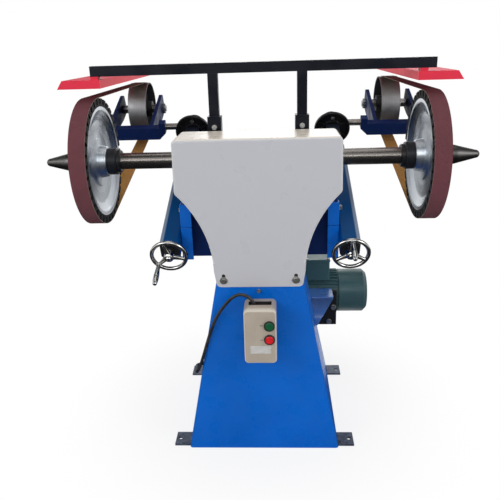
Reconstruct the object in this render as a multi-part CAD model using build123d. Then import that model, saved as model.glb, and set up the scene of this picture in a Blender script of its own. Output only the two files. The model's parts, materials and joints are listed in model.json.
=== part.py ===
from build123d import *
import math
import os

# A double-ended abrasive belt grinder: a welded pedestal and head carry a long spindle with a contact
# wheel near each end, and two inclined arms carry the idlers that keep the two belts tight.
# X runs along the spindle, Y to the rear and Z up. The origin is the middle of the four floor holes,
# on the floor. Lengths are in millimetres.

# Floor and pedestal
foot_spacing_x = 570.0
foot_spacing_y = 440.0
foot_hole_radius = 7.0
foot_reach = 300.0
foot_width = 64.0
foot_thickness = 8.0
pedestal_front = -262.0
pedestal_base_half = 248.0
pedestal_top_half = 125.0
pedestal_base_rear = 255.0
pedestal_top_rear = 44.0
pedestal_height = 633.0
pedestal_corner = 10.0
sheet = 5.0
top_plate_thickness = 12.0

# Head, between the pedestal and the bearing housings
head_half = 240.0
head_front = -154.0
head_rear = 80.0
head_top = 862.0
head_corner = 30.0
head_sheet = 6.0
head_plate = 12.0
belt_channel_half = 58.0

# Spindle and contact wheels
spindle_y = -20.0
spindle_height = 926.0
spindle_radius = 26.0
hub_seat_radius = 20.0
nose_radius = 15.0
spindle_tip_x = 690.0
bearing_x = 150.0
bearing_width = 40.0
bearing_radius = 45.0
housing_length = 90.0
housing_half_depth = 80.0
housing_top = 1000.0
wheel_x = 525.0
belt_width = 50.0
belt_thickness = 1.2
contact_radius = 200.0
rim_radius = 173.0
serration_count = 36
serration_width = 8.0
serration_depth = 9.0
serration_skew = 30.0

# Arms, idlers and tension screws. Places along an arm are counted from its handwheel.
arm_tilt = 22.0
handwheel_y = -250.0
handwheel_height = 682.0
sleeve_size = 60.0
sleeve_wall = 4.7
sleeve_start = 25.0
sleeve_end = 565.0
slide_start = 140.0
slide_end = 715.0
screw_radius = 10.0
screw_journal = 8.0
screw_end = 330.0
tracking_disc_radius = 68.0
cross_shaft_at = 767.0
cross_shaft_radius = 12.5
idler_at = 1010.0
idler_drop = 48.0
idler_radius = 110.0
idler_width = 76.0
yoke_inner = 437.0
yoke_outer = 620.0
ear_thickness = 14.0
ear_reach = 40.0
ear_low = 30.0
ear_crest = 2.0
ear_round = 14.0
handwheel_rim = 51.5
handwheel_section = 6.0
left_handle_angle = 135.0
right_handle_angle = 270.0

# Cover and belt guards
cover_top = 1027.0
cover_half = 238.0
cover_bottom = 585.0
cover_bottom_half = 128.0
cover_sheet = 2.5
cover_depth = 157.0
cover_bolt_x = 108.0
cover_bolt_z = 606.0
tube = 30.0
tube_wall = 3.0
crossbar_left = 503.0
crossbar_right = 527.0
crossbar_y = -50.0
crossbar_bottom = 1191.0
post_x = 134.0
guard_front = -80.0
guard_rear = 760.0
guard_top = 1182.0
guard_bottom = 1157.0
guard_sheet = 2.0

# Motor and drive
motor_y = 282.0
motor_height = 334.0
motor_start = 60.0
stator_end = 289.0
cowl_end = 398.0
motor_radius = 78.0
fin_height = 8.0
fin_count = 36
cowl_radius = 84.0
motor_foot_height = 90.0
motor_plate_y = 180.0
motor_plate_thickness = 12.0
pulley_x = 20.0
motor_pulley_radius = 60.0
spindle_pulley_radius = 54.0
vee_width = 13.0
vee_thickness = 9.0
vee_pitch = 19.0

# Switch box and its lead
box_half = 48.0
box_bottom = 371.0
box_top = 545.0
box_depth = 85.0
button_x = 27.0
start_height = 496.0
stop_height = 452.0
button_radius = 12.5
button_stand = 7.0
lead_radius = 5.0
gland_x = 17.0
gland_y = -293.0
boot_entry_y = -8.0
boot_entry_height = 174.0
boot_length = 30.0

# Clearances: a shaft in its bore, and between bodies that pass each other
shaft_gap = 0.05
seat_gap = 0.02
pass_gap = 0.3


def block(x0, x1, y0, y1, z0, z1):
    return Pos((x0 + x1) / 2, (y0 + y1) / 2, (z0 + z1) / 2) * Box(x1 - x0, y1 - y0, z1 - z0)


def rod_x(radius, x0, x1, y, z):
    return Pos((x0 + x1) / 2, y, z) * Rot(0, 90, 0) * Cylinder(radius, x1 - x0)


def turned(profile, y, z):
    """A turned piece about a line along X, from (x, radius) points of half its section."""
    return Pos(0, y, z) * revolve(make_face(Polyline(*profile, close=True)), Axis.X)


def left_of(shape):
    return mirror(shape, Plane.YZ)


def save(node, *shapes):
    solids = [solid for shape in shapes for solid in shape.solids()]
    export_step(solids[0] if len(solids) == 1 else Compound(solids), f"parts/{node}.step")


def hex_head(across, height):
    """A hexagon head on its washer, standing up from z = 0."""
    washer = extrude(Circle(across * 0.62), height * 0.2)
    hexagon = RegularPolygon(across / 2, 6, major_radius=False)
    return washer + Pos(0, 0, height * 0.2) * extrude(hexagon, height * 0.8)


def arm_frame(side):
    """The frame of one arm: z runs up the arm from the handwheel, x to the right, y down."""
    tilt = math.radians(arm_tilt)
    arm_x = side * (head_half + sleeve_size / 2)
    direction = (0, math.cos(tilt), math.sin(tilt))
    return Plane(origin=(arm_x, handwheel_y, handwheel_height), x_dir=(1, 0, 0), z_dir=direction)


def arm_point(at, drop):
    """The (y, z) of a point along the arm, so far below its own axis."""
    tilt = math.radians(arm_tilt)
    return (handwheel_y + at * math.cos(tilt) + drop * math.sin(tilt),
            handwheel_height + at * math.sin(tilt) - drop * math.cos(tilt))


def on_arm(radius, start, end):
    return Pos(0, 0, (start + end) / 2) * Cylinder(radius, end - start)


def square_on_arm(size, corner, start, end):
    return Pos(0, 0, start) * extrude(RectangleRounded(size, size, corner), end - start)


def loop_face(near, near_radius, far, far_radius):
    """The face inside a belt line round two pulleys, in the plane x = 0; near and far are (y, z)."""
    span = math.dist(near, far)
    along = ((far[0] - near[0]) / span, (far[1] - near[1]) / span)
    across = (-along[1], along[0])
    lean = (near_radius - far_radius) / span
    rise = math.sqrt(1 - lean * lean)

    def spot(centre, radius, a, b):
        return (0, *(centre[i] + radius * (a * along[i] + b * across[i]) for i in (0, 1)))

    near_top = spot(near, near_radius, lean, rise)
    near_low = spot(near, near_radius, lean, -rise)
    far_top = spot(far, far_radius, lean, rise)
    far_low = spot(far, far_radius, lean, -rise)
    return make_face([
        ThreePointArc(near_low, spot(near, near_radius, -1, 0), near_top),
        Line(near_top, far_top),
        ThreePointArc(far_top, spot(far, far_radius, 1, 0), far_low),
        Line(far_low, near_low),
    ])


def belt_band(near, near_radius, far, far_radius, thickness, x, width):
    """A flat belt whose inner face lies at the two radii."""
    outside = loop_face(near, near_radius + thickness, far, far_radius + thickness)
    inside = loop_face(near, near_radius, far, far_radius)
    solid = extrude(outside, width, dir=(1, 0, 0)) - extrude(inside, width, dir=(1, 0, 0))
    return Pos(x - width / 2, 0, 0) * solid


os.makedirs("parts", exist_ok=True)
spindle_line = (spindle_y, spindle_height)
motor_line = (motor_y, motor_height)
idler_line = arm_point(idler_at, idler_drop)
head_floor = pedestal_height + top_plate_thickness


# Pedestal: a tapered sheet box in two folded halves with flat side panels, on four bolted feet
def pedestal_section(z, inset):
    share = z / pedestal_height
    half = pedestal_base_half + (pedestal_top_half - pedestal_base_half) * share - inset
    rear = pedestal_base_rear + (pedestal_top_rear - pedestal_base_rear) * share - inset
    front = pedestal_front + inset
    outline = RectangleRounded(2 * half, rear - front, pedestal_corner - inset)
    return Pos(0, (front + rear) / 2, z) * outline


def pedestal_block(inset):
    return loft([pedestal_section(0, inset), pedestal_section(pedestal_height, inset)], ruled=True)


pedestal_outside = pedestal_block(0)
pedestal_shell = pedestal_outside - pedestal_block(sheet)
fold = 40.0
wide = 2 * pedestal_base_half
front_zone = block(-wide, wide, pedestal_front - fold, pedestal_front + fold, -1, 2 * pedestal_height)
rear_rise = (pedestal_top_rear - pedestal_base_rear) / pedestal_height
above = pedestal_height + 1
rear_corners = [(-wide, pedestal_base_rear + rear_rise * z + step, z)
                for z, step in ((-1, -fold), (-1, fold), (above, fold), (above, -fold))]
rear_outline = make_face(Polyline(*rear_corners, close=True))
rear_zone = extrude(rear_outline, 2 * wide, dir=(1, 0, 0))
save("pedestal_front_panel", pedestal_shell & front_zone)
save("pedestal_rear_panel", pedestal_shell & rear_zone)
save("pedestal_side_panels", pedestal_shell - front_zone - rear_zone)

top_depth = pedestal_top_rear - pedestal_front
top_outline = RectangleRounded(2 * pedestal_top_half, top_depth, pedestal_corner)
top_centre = Pos(0, pedestal_front + top_depth / 2, pedestal_height)
save("pedestal_top_plate", top_centre * extrude(top_outline, top_plate_thickness))

feet = []
for x_side in (-1, 1):
    for y_side in (-1, 1):
        inner, outer = sorted((x_side * (pedestal_base_half - 20), x_side * foot_reach))
        hole_y = y_side * foot_spacing_y / 2
        plate = block(inner, outer, hole_y - foot_width / 2, hole_y + foot_width / 2, 0, foot_thickness)
        hole = Pos(x_side * foot_spacing_x / 2, hole_y) * Cylinder(foot_hole_radius, 3 * foot_thickness)
        feet.append(plate - pedestal_outside - hole)
save("floor_feet", *feet)


# Head: a wrapped sheet with round front corners, stiffened by webs that leave a channel for the vee belts
def head_plan(inset, rear):
    front = head_front + inset
    plan = Pos(0, (front + rear) / 2) * Rectangle(2 * (head_half - inset), rear - front)
    return fillet(plan.vertices().group_by(Axis.Y)[0], head_corner - inset)


wrap_top = head_top - head_plate
wrap_plan = head_plan(0, head_rear) - head_plan(head_sheet, head_rear + head_sheet)
save("head_shell", Pos(0, 0, head_floor) * extrude(wrap_plan, wrap_top - head_floor))

web_thickness = 8.0
web_out = belt_channel_half + web_thickness
inner_half = head_half - head_sheet
web = block(belt_channel_half, web_out, head_front + head_sheet, head_rear, head_floor, wrap_top)
rear_plate = block(web_out, inner_half, head_rear - head_sheet, head_rear, head_floor, wrap_top)
inside_plan = head_plan(head_sheet, head_rear - head_sheet)
floor_zone = block(web_out, head_half, head_front, head_rear, head_floor, head_top)
floor_plate = (Pos(0, 0, head_floor) * extrude(inside_plan, web_thickness)) & floor_zone
stiffeners = [web, rear_plate, floor_plate]
save("head_webs", *stiffeners, *[left_of(piece) for piece in stiffeners])

seat_zone = block(belt_channel_half, head_half, head_front, head_rear, 0, head_top)
seat = (Pos(0, 0, wrap_top) * extrude(head_plan(0, head_rear), head_plate)) & seat_zone
save("head_top_plates", seat, left_of(seat))

# Bearing housings, bolted to the head, each with one wide ball bearing
housing_in = bearing_x - housing_length / 2
housing_out = bearing_x + housing_length / 2
housing_flange = 28.0
flange_height = 20.0
crown_radius = 30.0
housing = block(housing_in, housing_out, spindle_y - housing_half_depth, spindle_y + housing_half_depth,
                head_top, housing_top)
housing = fillet(housing.edges().filter_by(Axis.X).group_by(Axis.Z)[-1], crown_radius)
flange = block(housing_in, housing_out, spindle_y - housing_half_depth - housing_flange,
               spindle_y + housing_half_depth + housing_flange, head_top, head_top + flange_height)
flange = flange & block(0, head_half, head_front, head_rear, 0, housing_top)
bore = rod_x(bearing_radius, bearing_x - bearing_width / 2, housing_out + 1, *spindle_line)
passage = rod_x(spindle_radius + 4, housing_in - 1, housing_out + 1, *spindle_line)
housing = housing + flange - bore - passage
save("bearing_housings", housing, left_of(housing))

bearing_start = bearing_x - bearing_width / 2
bearing_stop = bearing_x + bearing_width / 2
race_inner = spindle_radius + 7
race_outer = bearing_radius - 7
seal_step = 3.0
bearing = turned([
    (bearing_start, spindle_radius + shaft_gap), (bearing_start, race_inner),
    (bearing_start + seal_step, race_inner), (bearing_start + seal_step, race_outer),
    (bearing_start, race_outer), (bearing_start, bearing_radius - seat_gap),
    (bearing_stop, bearing_radius - seat_gap), (bearing_stop, race_outer),
    (bearing_stop - seal_step, race_outer), (bearing_stop - seal_step, race_inner),
    (bearing_stop, race_inner), (bearing_stop, spindle_radius + shaft_gap),
], *spindle_line)
save("spindle_bearings", bearing, left_of(bearing))

# Spindle with a stepped seat at each wheel, its pulley, collars and screwed-on tapered noses
wheel_in = wheel_x - belt_width / 2
wheel_out = wheel_x + belt_width / 2
hub_start = wheel_in - 14
hub_out = wheel_out + 2
seat_end = hub_out + 4
nose_end = hub_out + 55
spindle_half = turned([
    (0, 0), (0, spindle_radius), (hub_start, spindle_radius), (hub_start, hub_seat_radius),
    (seat_end, hub_seat_radius), (seat_end, nose_radius), (nose_end, nose_radius), (nose_end, 0),
], *spindle_line)
save("spindle", spindle_half + left_of(spindle_half))

collar_radius = 42.5
collar_neck = 36.0
collar_length = 42.0
collar_step = 28.0
collar = turned([
    (hub_start, spindle_radius + seat_gap), (hub_start, collar_radius - 2), (hub_start - 2, collar_radius),
    (hub_start - collar_step, collar_radius), (hub_start - collar_step - 2, collar_radius - 2),
    (hub_start - collar_step - 2, collar_neck), (hub_start - collar_length + 2, collar_neck),
    (hub_start - collar_length, collar_neck - 2), (hub_start - collar_length, spindle_radius + seat_gap),
], *spindle_line)
save("wheel_collars", collar, left_of(collar))

nose_base = 30.0
nose_tip = 13.0
nose_land = 58.0
nose_bore = nose_radius + seat_gap
seat_bore = hub_seat_radius + seat_gap
taper_outline = make_face([
    Polyline((nose_end + 2, 0), (nose_end + 2, nose_bore), (seat_end + 1, nose_bore),
             (seat_end + 1, seat_bore), (hub_out, seat_bore), (hub_out, nose_base),
             (hub_out + nose_land, nose_base), (spindle_tip_x - nose_tip, nose_tip)),
    CenterArc((spindle_tip_x - nose_tip, 0), nose_tip, 0, 90),
    Line((spindle_tip_x, 0), (nose_end + 2, 0)),
])
taper_end = Pos(0, *spindle_line) * revolve(taper_outline, Axis.X)
save("taper_ends", taper_end, left_of(taper_end))

# Contact wheels: a dished aluminium disc with a serrated rubber tyre
hub_radius = 48.0
boss_radius = 76.0
lip = 9.0
dish = 16.0
web_face = 32.0
contact_wheel = turned([
    (hub_start, seat_bore), (hub_start, hub_radius - 3), (hub_start + 3, hub_radius),
    (wheel_in + dish * 0.7, hub_radius + 4), (wheel_in + dish * 0.7, boss_radius),
    (wheel_in + dish, boss_radius + 3), (wheel_in + dish, rim_radius - 46),
    (wheel_in + 5, rim_radius - lip - 5), (wheel_in, rim_radius - lip), (wheel_in, rim_radius),
    (wheel_out, rim_radius), (wheel_out, rim_radius - lip), (wheel_out - 8, rim_radius - 22),
    (wheel_in + web_face, rim_radius - 46), (wheel_in + web_face, boss_radius),
    (hub_out - 3, hub_radius + 6), (hub_out, hub_radius), (hub_out, seat_bore),
], *spindle_line)
save("contact_wheel_right", contact_wheel)
save("contact_wheel_left", left_of(contact_wheel))

tyre_radius = contact_radius - belt_thickness - pass_gap
tyre = turned([(wheel_in, rim_radius + seat_gap), (wheel_in, tyre_radius), (wheel_out, tyre_radius),
               (wheel_out, rim_radius + seat_gap)], 0, 0)
grooves = []
for turn in range(serration_count):
    cutter = Box(2 * belt_width, serration_width, serration_depth)
    place = Rot(turn * 360 / serration_count, 0, 0) * Pos(wheel_x, 0, tyre_radius - serration_depth * 0.35)
    grooves.append(place * Rot(0, 0, serration_skew) * cutter)
tyre = Pos(0, *spindle_line) * (tyre - grooves)
save("contact_tyre_right", tyre)
save("contact_tyre_left", left_of(tyre))


# Abrasive belts, each round a contact wheel and its idler
abrasive_belt = belt_band(spindle_line, tyre_radius + pass_gap, idler_line, idler_radius + pass_gap,
                          belt_thickness, wheel_x, belt_width)
save("abrasive_belt_right", abrasive_belt)
save("abrasive_belt_left", left_of(abrasive_belt))

# Vee belts and pulleys
groove_depth = vee_thickness + 3


def vee_pulley(radius, shaft_radius, line):
    """A two-groove pulley with a hub, centred on the belts' plane."""
    half = vee_pitch / 2 + vee_width / 2 + 5
    outline = [(-half, shaft_radius + seat_gap), (-half, radius)]
    for groove_x in (-vee_pitch / 2, vee_pitch / 2):
        edge = vee_width / 2 + pass_gap
        outline += [(groove_x - edge, radius), (groove_x - edge, radius - groove_depth),
                    (groove_x + edge, radius - groove_depth), (groove_x + edge, radius)]
    outline += [(half, radius), (half, shaft_radius + seat_gap)]
    return Pos(pulley_x, 0, 0) * turned(outline, *line)


save("spindle_pulley", vee_pulley(spindle_pulley_radius, spindle_radius, spindle_line))
motor_shaft_radius = 14.0
save("motor_pulley", vee_pulley(motor_pulley_radius, motor_shaft_radius, motor_line))
belts = [belt_band(motor_line, motor_pulley_radius - vee_thickness, spindle_line,
                   spindle_pulley_radius - vee_thickness, vee_thickness, pulley_x + offset, vee_width)
         for offset in (-vee_pitch / 2, vee_pitch / 2)]
save("drive_belts", *belts)

# Arms: a welded sleeve, a sliding bar inside it, and the head that tilts to track the belt
bore_size = sleeve_size - 2 * sleeve_wall
slide_size = bore_size - 2 * pass_gap
slide_wall = 5.0
end_plate = 10.0
nut_length = 40.0
spigot_radius = 15.0
spigot_end = 800.0
disc_start = slide_end + 1
disc_thickness = 16.0
disc_recess = 6.0
disc_rim = 9.0
boss_end = spigot_end - 6
boss_outer = 36.0

sleeve = square_on_arm(sleeve_size, 8, sleeve_start, sleeve_end)
sleeve -= square_on_arm(bore_size, 3.5, sleeve_start + end_plate, sleeve_end + 1)
sleeve -= on_arm(screw_journal + shaft_gap, sleeve_start - 1, sleeve_start + end_plate + 1)

slide = square_on_arm(slide_size, 3, slide_start, slide_end)
slide -= square_on_arm(slide_size - 2 * slide_wall, 2, slide_start + nut_length, slide_end - end_plate)
slide -= on_arm(screw_radius + shaft_gap, slide_start - 1, slide_start + nut_length + 1)
slide += on_arm(spigot_radius, slide_end, spigot_end)
slide += Pos(0, 0, spigot_end - 5) * extrude(RegularPolygon(21, 6, major_radius=False), 14)

tracking_head = on_arm(tracking_disc_radius, disc_start, disc_start + disc_thickness)
tracking_head -= (on_arm(tracking_disc_radius - disc_rim, disc_start - 1, disc_start + disc_recess)
                  - on_arm(boss_outer, disc_start - 1, disc_start + disc_recess))
tracking_head += on_arm(boss_outer, disc_start, boss_end)
tracking_head -= on_arm(spigot_radius + shaft_gap, disc_start - 1, boss_end + 1)

screw = on_arm(screw_radius, sleeve_start + end_plate + pass_gap, screw_end)
screw += on_arm(screw_journal, -8, sleeve_start + end_plate + 1)

for side, name in ((1, "right"), (-1, "left")):
    save(f"arm_sleeve_{name}", arm_frame(side) * sleeve)
    save(f"tension_slide_{name}", arm_frame(side) * slide)
    save(f"tracking_head_{name}", arm_frame(side) * tracking_head)
    save(f"tension_screw_{name}", arm_frame(side) * screw)

# Idler yoke: a bar with one corner cut away, two side plates back to the axle, and a cross shaft welded
# to the tracking head
arm_x = head_half + sleeve_size / 2
bar_depth = 30.0
bar_top = 1.0
bar_low = 51.0
bar_overhang = 5.0
bar_cut = 28.0
boss_x = 385.0
boss_width = 25.0
boss_rise = 20.0
bar_start = cross_shaft_at - cross_shaft_radius
bar_end = bar_start + bar_depth
boss_near = boss_x - arm_x
boss_far = boss_near + boss_width
bar_far = yoke_outer + bar_overhang - arm_x
bar_outline = Polyline((boss_near, -boss_rise), (boss_far, -boss_rise), (boss_far, bar_top),
                       (bar_far, bar_top), (bar_far, bar_low), (boss_near + bar_cut, bar_low),
                       (boss_near, bar_low - bar_cut), close=True)
yoke = Pos(0, 0, bar_start) * extrude(make_face(bar_outline), bar_depth)
ear_end = idler_at + ear_reach
ear_foot = idler_drop + ear_low
for ear_x in (yoke_inner, yoke_outer - ear_thickness):
    low = ear_x - arm_x
    corners = ((bar_top, bar_start), (bar_low, bar_start), (ear_foot, idler_at - ear_reach),
               (ear_foot, ear_end), (-ear_crest, ear_end))
    ear = make_face(Polyline(*[(low, y, z) for y, z in corners], close=True))
    ear = fillet(ear.vertices().group_by(Axis.Z)[-1], ear_round)
    yoke += extrude(ear, ear_thickness, dir=(1, 0, 0))
axle_radius = 12.5
yoke -= rod_x(axle_radius + seat_gap, -arm_x, 2 * arm_x, idler_drop, idler_at)
yoke = arm_frame(1) * yoke
save("idler_yoke_right", yoke)
save("idler_yoke_left", left_of(yoke))

cross_shaft = Pos(0, 0, cross_shaft_at) * rod_x(cross_shaft_radius, 0, boss_x - arm_x, 0, 0)
cross_shaft = arm_frame(1) * (cross_shaft - on_arm(boss_outer, disc_start, boss_end))
save("yoke_shaft_right", cross_shaft)
save("yoke_shaft_left", left_of(cross_shaft))

# Idler drums on fixed axles with a nut at each end and spacers beside the hub
idler_in = wheel_x - idler_width / 2
idler_out = wheel_x + idler_width / 2
idler_hub = 32.0
hub_overhang = 7.0
idler_rim = 7.0
idler_web = 12.0
web_start = wheel_x - idler_web / 2
web_stop = wheel_x + idler_web / 2
bore_radius = axle_radius + shaft_gap
hub_in = idler_in - hub_overhang
hub_end = idler_out + hub_overhang
rim_inside = idler_radius - idler_rim
rim_mouth = rim_inside + 1.5
hub_root = idler_hub + 4
idler = turned([
    (hub_in, bore_radius), (hub_in, idler_hub), (web_start, hub_root), (web_start, rim_inside),
    (idler_in, rim_mouth), (idler_in, idler_radius), (idler_out, idler_radius), (idler_out, rim_mouth),
    (web_stop, rim_inside), (web_stop, hub_root), (hub_end, idler_hub), (hub_end, bore_radius),
], *idler_line)
save("idler_drum_right", idler)
save("idler_drum_left", left_of(idler))

nut_flats = 36.0
nut_height = 12.0
spacer_radius = 17.0
spacer_gap = 0.5
axle = rod_x(axle_radius, yoke_inner - nut_height - 4, yoke_outer + nut_height + 4, *idler_line)
axle += rod_x(spacer_radius, yoke_inner + ear_thickness, hub_in - spacer_gap, *idler_line)
axle += rod_x(spacer_radius, hub_end + spacer_gap, yoke_outer - ear_thickness, *idler_line)
for nut_x in (yoke_inner - nut_height, yoke_outer):
    nut = extrude(RegularPolygon(nut_flats / 2, 6, major_radius=False), nut_height)
    axle += Pos(nut_x, *idler_line) * Rot(0, 90, 0) * nut
save("idler_axle_right", axle)
save("idler_axle_left", left_of(axle))

# Handwheels with three spokes, and a handle that turns on a pin at the rim
hub_size = 15.0
hub_front = -14.0
hub_back = 22.0
spoke_radius = 4.5
rim_round = 4.0
pin_radius = 4.0
pin_head = 6.0
handle_start = 9.0
handle_length = 72.0


def handwheel(handle_angle):
    section = RectangleRounded(2 * handwheel_section, 2 * handwheel_section - 1, rim_round)
    rim = revolve(Plane.XZ * Pos(handwheel_rim, 0) * section, Axis.Z)
    spoke = rod_x(spoke_radius, hub_size / 2, handwheel_rim - 2, 0, 0)
    spokes = [Rot(0, 0, handle_angle + 120 * third) * spoke for third in range(3)]
    wheel = on_arm(hub_size, hub_front, hub_back) + spokes + rim
    pin_end = handle_start + handle_length + pass_gap
    pin = on_arm(pin_radius, -pin_end - 3, 0) + on_arm(pin_head, -pin_end - 3, -pin_end)
    wheel += Rot(0, 0, handle_angle) * Pos(handwheel_rim, 0, 0) * pin
    return wheel - on_arm(screw_journal + seat_gap, -8, hub_back + 1)


def crank_handle(handle_angle):
    profile = make_face([
        Line((pin_radius + shaft_gap, 0), (6, 0)),
        ThreePointArc((6, 0), (8.5, handle_length * 0.6), (7, handle_length)),
        Polyline((7, handle_length), (pin_radius + shaft_gap, handle_length), (pin_radius + shaft_gap, 0)),
    ])
    grip = revolve(Plane.XZ * profile, Axis.Z)
    place = Rot(0, 0, handle_angle) * Pos(handwheel_rim, 0, -handle_start) * Rot(180, 0, 0)
    return place * grip


for side, name, angle in ((1, "right", right_handle_angle), (-1, "left", left_handle_angle)):
    save(f"handwheel_{name}", arm_frame(side) * handwheel(angle))
    save(f"crank_handle_{name}", arm_frame(side) * crank_handle(angle))


# Front cover: one pressed sheet with deep flanges above the knee and a shallow edge below it
knee = (240.0, 872.0)
waist = (173.0, 781.0)
ankle = (136.0, 635.0)
knee_round = 16.0
top_round = 14.0
bend_outside = 8.0
bend_inside = bend_outside - cover_sheet
flange_floor = 863.0
shallow_floor = 660.0
shallow_depth = 14.0


def cover_outline(inset):
    half = [
        Polyline((0, cover_bottom), (cover_bottom_half, cover_bottom), ankle),
        ThreePointArc(ankle, waist, knee),
        Polyline(knee, (cover_half, cover_top), (0, cover_top)),
    ]
    face = make_face([*half, *[mirror(line, Plane.YZ) for line in half]])
    corners = face.vertices().filter_by(lambda v: abs(v.X) > 1)
    face = fillet(corners.filter_by(lambda v: abs(v.Y - knee[1]) < 1), knee_round)
    face = fillet(face.vertices().filter_by(lambda v: abs(v.X) > 1 and abs(v.Y - cover_top) < 1), top_round)
    face = fillet(face.vertices().filter_by(lambda v: abs(v.X) > 1 and abs(v.Y - cover_bottom) < 1), 14)
    return offset(face, -inset) if inset else face


upright = Plane(origin=(0, pedestal_front, 0), x_dir=(1, 0, 0), z_dir=(0, -1, 0))


def cover_pan(inset, bend):
    """A block of the cover's outline whose front edge is bent to a radius all round."""
    face = Pos(0, inset - cover_sheet, 0) * (upright * cover_outline(inset))
    pan = extrude(face, inset - cover_sheet - cover_depth)
    return fillet(pan.edges().group_by(Axis.Y)[0], bend)


edge_stop = pedestal_front + shallow_depth
bent = cover_pan(0, bend_outside) - cover_pan(cover_sheet, bend_inside)
front_face = pedestal_front - cover_sheet
deep_zone = block(-wide, wide, front_face, pedestal_front + cover_depth, flange_floor, cover_top + 1)
shallow_zone = block(-wide, wide, front_face, edge_stop, shallow_floor, flange_floor)
flat_zone = block(-wide, wide, front_face, pedestal_front, cover_bottom - 1, shallow_floor)
skin = extrude(upright * cover_outline(0), cover_sheet)
cover = (bent & deep_zone) + (bent & shallow_zone) + (skin & flat_zone)
slot_length = 30.0
slot_width = 11.0
for x_side in (-1, 1):
    slot = SlotOverall(slot_length, slot_width, rotation=90)
    place = Pos(x_side * cover_bolt_x, cover_bolt_z + slot_length * 0.18, -1)
    cover -= upright * (place * extrude(slot, cover_sheet + 2))
save("front_cover", cover)

# Guard frame: posts in sockets on the bearing housings, a crossbar, and a shallow tray over each belt
post_y0 = crossbar_y - tube / 2
post_y1 = crossbar_y + tube / 2
socket_half = 21.0
socket_top = 1065.0
socket_plate = 10.0
post_start = housing_top + socket_plate
post = block(post_x - tube / 2, post_x + tube / 2, post_y0, post_y1, post_start, crossbar_bottom)
hollow = tube / 2 - tube_wall
post -= block(post_x - hollow, post_x + hollow, crossbar_y - hollow, crossbar_y + hollow,
              post_start - 1, crossbar_bottom + 1)
socket = Pos(0, 0, housing_top) * extrude(
    Pos(post_x, crossbar_y) * Rectangle(2 * socket_half, 2 * socket_half), socket_top - housing_top)
socket -= block(post_x - tube / 2, post_x + tube / 2, post_y0, post_y1, post_start, socket_top + 1)
posts = [post, socket]
save("guard_posts", *posts, *[left_of(piece) for piece in posts])

crossbar = block(-crossbar_left, crossbar_right, post_y0, post_y1, crossbar_bottom, crossbar_bottom + tube)
crossbar -= block(-crossbar_left - 1, crossbar_right + 1, crossbar_y - hollow, crossbar_y + hollow,
                  crossbar_bottom + tube_wall, crossbar_bottom + tube - tube_wall)
save("guard_crossbar", crossbar)

guard_inner = 472.0
guard_outer = 587.0
guard_flare = 17.0


def guard_prism(inset, y0, y1):
    low = guard_bottom - inset
    top = guard_top - inset
    inner = guard_inner + inset
    outer = guard_outer - inset
    corners = ((inner, low), (inner, top), (outer, top), (outer + guard_flare, low))
    outline = Polyline(*[(x, y0, z) for x, z in corners], close=True)
    return extrude(make_face(outline), y1 - y0, dir=(0, 1, 0))


guard = guard_prism(0, guard_front, guard_rear)
guard -= guard_prism(guard_sheet, guard_front + guard_sheet, guard_rear - guard_sheet)
guard += block(guard_inner + 8, crossbar_left, post_y0, post_y1, guard_top, crossbar_bottom)
save("belt_guard_right", guard)
save("belt_guard_left", left_of(guard))

# Motor: a finned foot-mounted housing with a fan cowl and a terminal box, on an angle plate
shield = 20.0
core_radius = 45.0
core_start = motor_start + shield + 10
core_end = stator_end - shield - 10
fin_start = motor_start + shield
motor = turned([
    (motor_start, 0), (motor_start, motor_radius * 0.55), (motor_start + 8, motor_radius * 0.9),
    (fin_start, motor_radius), (stator_end, motor_radius), (stator_end, 0),
], 0, 0)
fin_thickness = 3.0
for fin in range(fin_count):
    rib = block(fin_start, stator_end - 4, -fin_thickness / 2, fin_thickness / 2,
                motor_radius - 3, motor_radius + fin_height)
    motor += Rot(fin * 360 / fin_count, 0, 0) * rib
foot_middle = (fin_start + stator_end) / 2
pad_y = 70.0
pad_size = (145.0, 40.0, 14.0)
leg_y = 50.0
leg_size = (133.0, 20.0, 50.0)
bottom = (Align.CENTER, Align.CENTER, Align.MIN)
for y_side in (-1, 1):
    motor += Pos(foot_middle, y_side * pad_y, -motor_foot_height) * Box(*pad_size, align=bottom)
    motor += Pos(foot_middle, y_side * leg_y, -motor_foot_height) * Box(*leg_size, align=bottom)
motor -= rod_x(core_radius + 0.5, core_start - 4, core_end + 4, 0, 0)
motor -= rod_x(motor_shaft_radius + shaft_gap, motor_start - 1, stator_end + 1, 0, 0)
save("motor_housing", Pos(0, *motor_line) * motor)

cowl_wall = 2.0
cowl_chamfer = 14.0
cowl = turned([
    (stator_end, motor_radius - 6), (stator_end, cowl_radius), (cowl_end - cowl_chamfer, cowl_radius),
    (cowl_end, cowl_radius - cowl_chamfer), (cowl_end, 0), (cowl_end - cowl_wall, 0),
    (cowl_end - cowl_wall, cowl_radius - cowl_chamfer), (cowl_end - cowl_chamfer, cowl_radius - cowl_wall),
    (stator_end + cowl_wall, cowl_radius - cowl_wall), (stator_end + cowl_wall, motor_radius - 6),
], 0, 0)
vent_count = 16
vent_width = 5.0
vent_low = 20.0
vent_high = cowl_radius - cowl_chamfer - 8
vent_side = vent_width / 2
vent_slot = block(cowl_end - 2 * cowl_wall, cowl_end + 1, -vent_side, vent_side, vent_low, vent_high)
vents = [Rot(vent * 360 / vent_count, 0, 0) * vent_slot for vent in range(vent_count)]
save("fan_cowl", Pos(0, *motor_line) * (cowl - vents))

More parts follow.
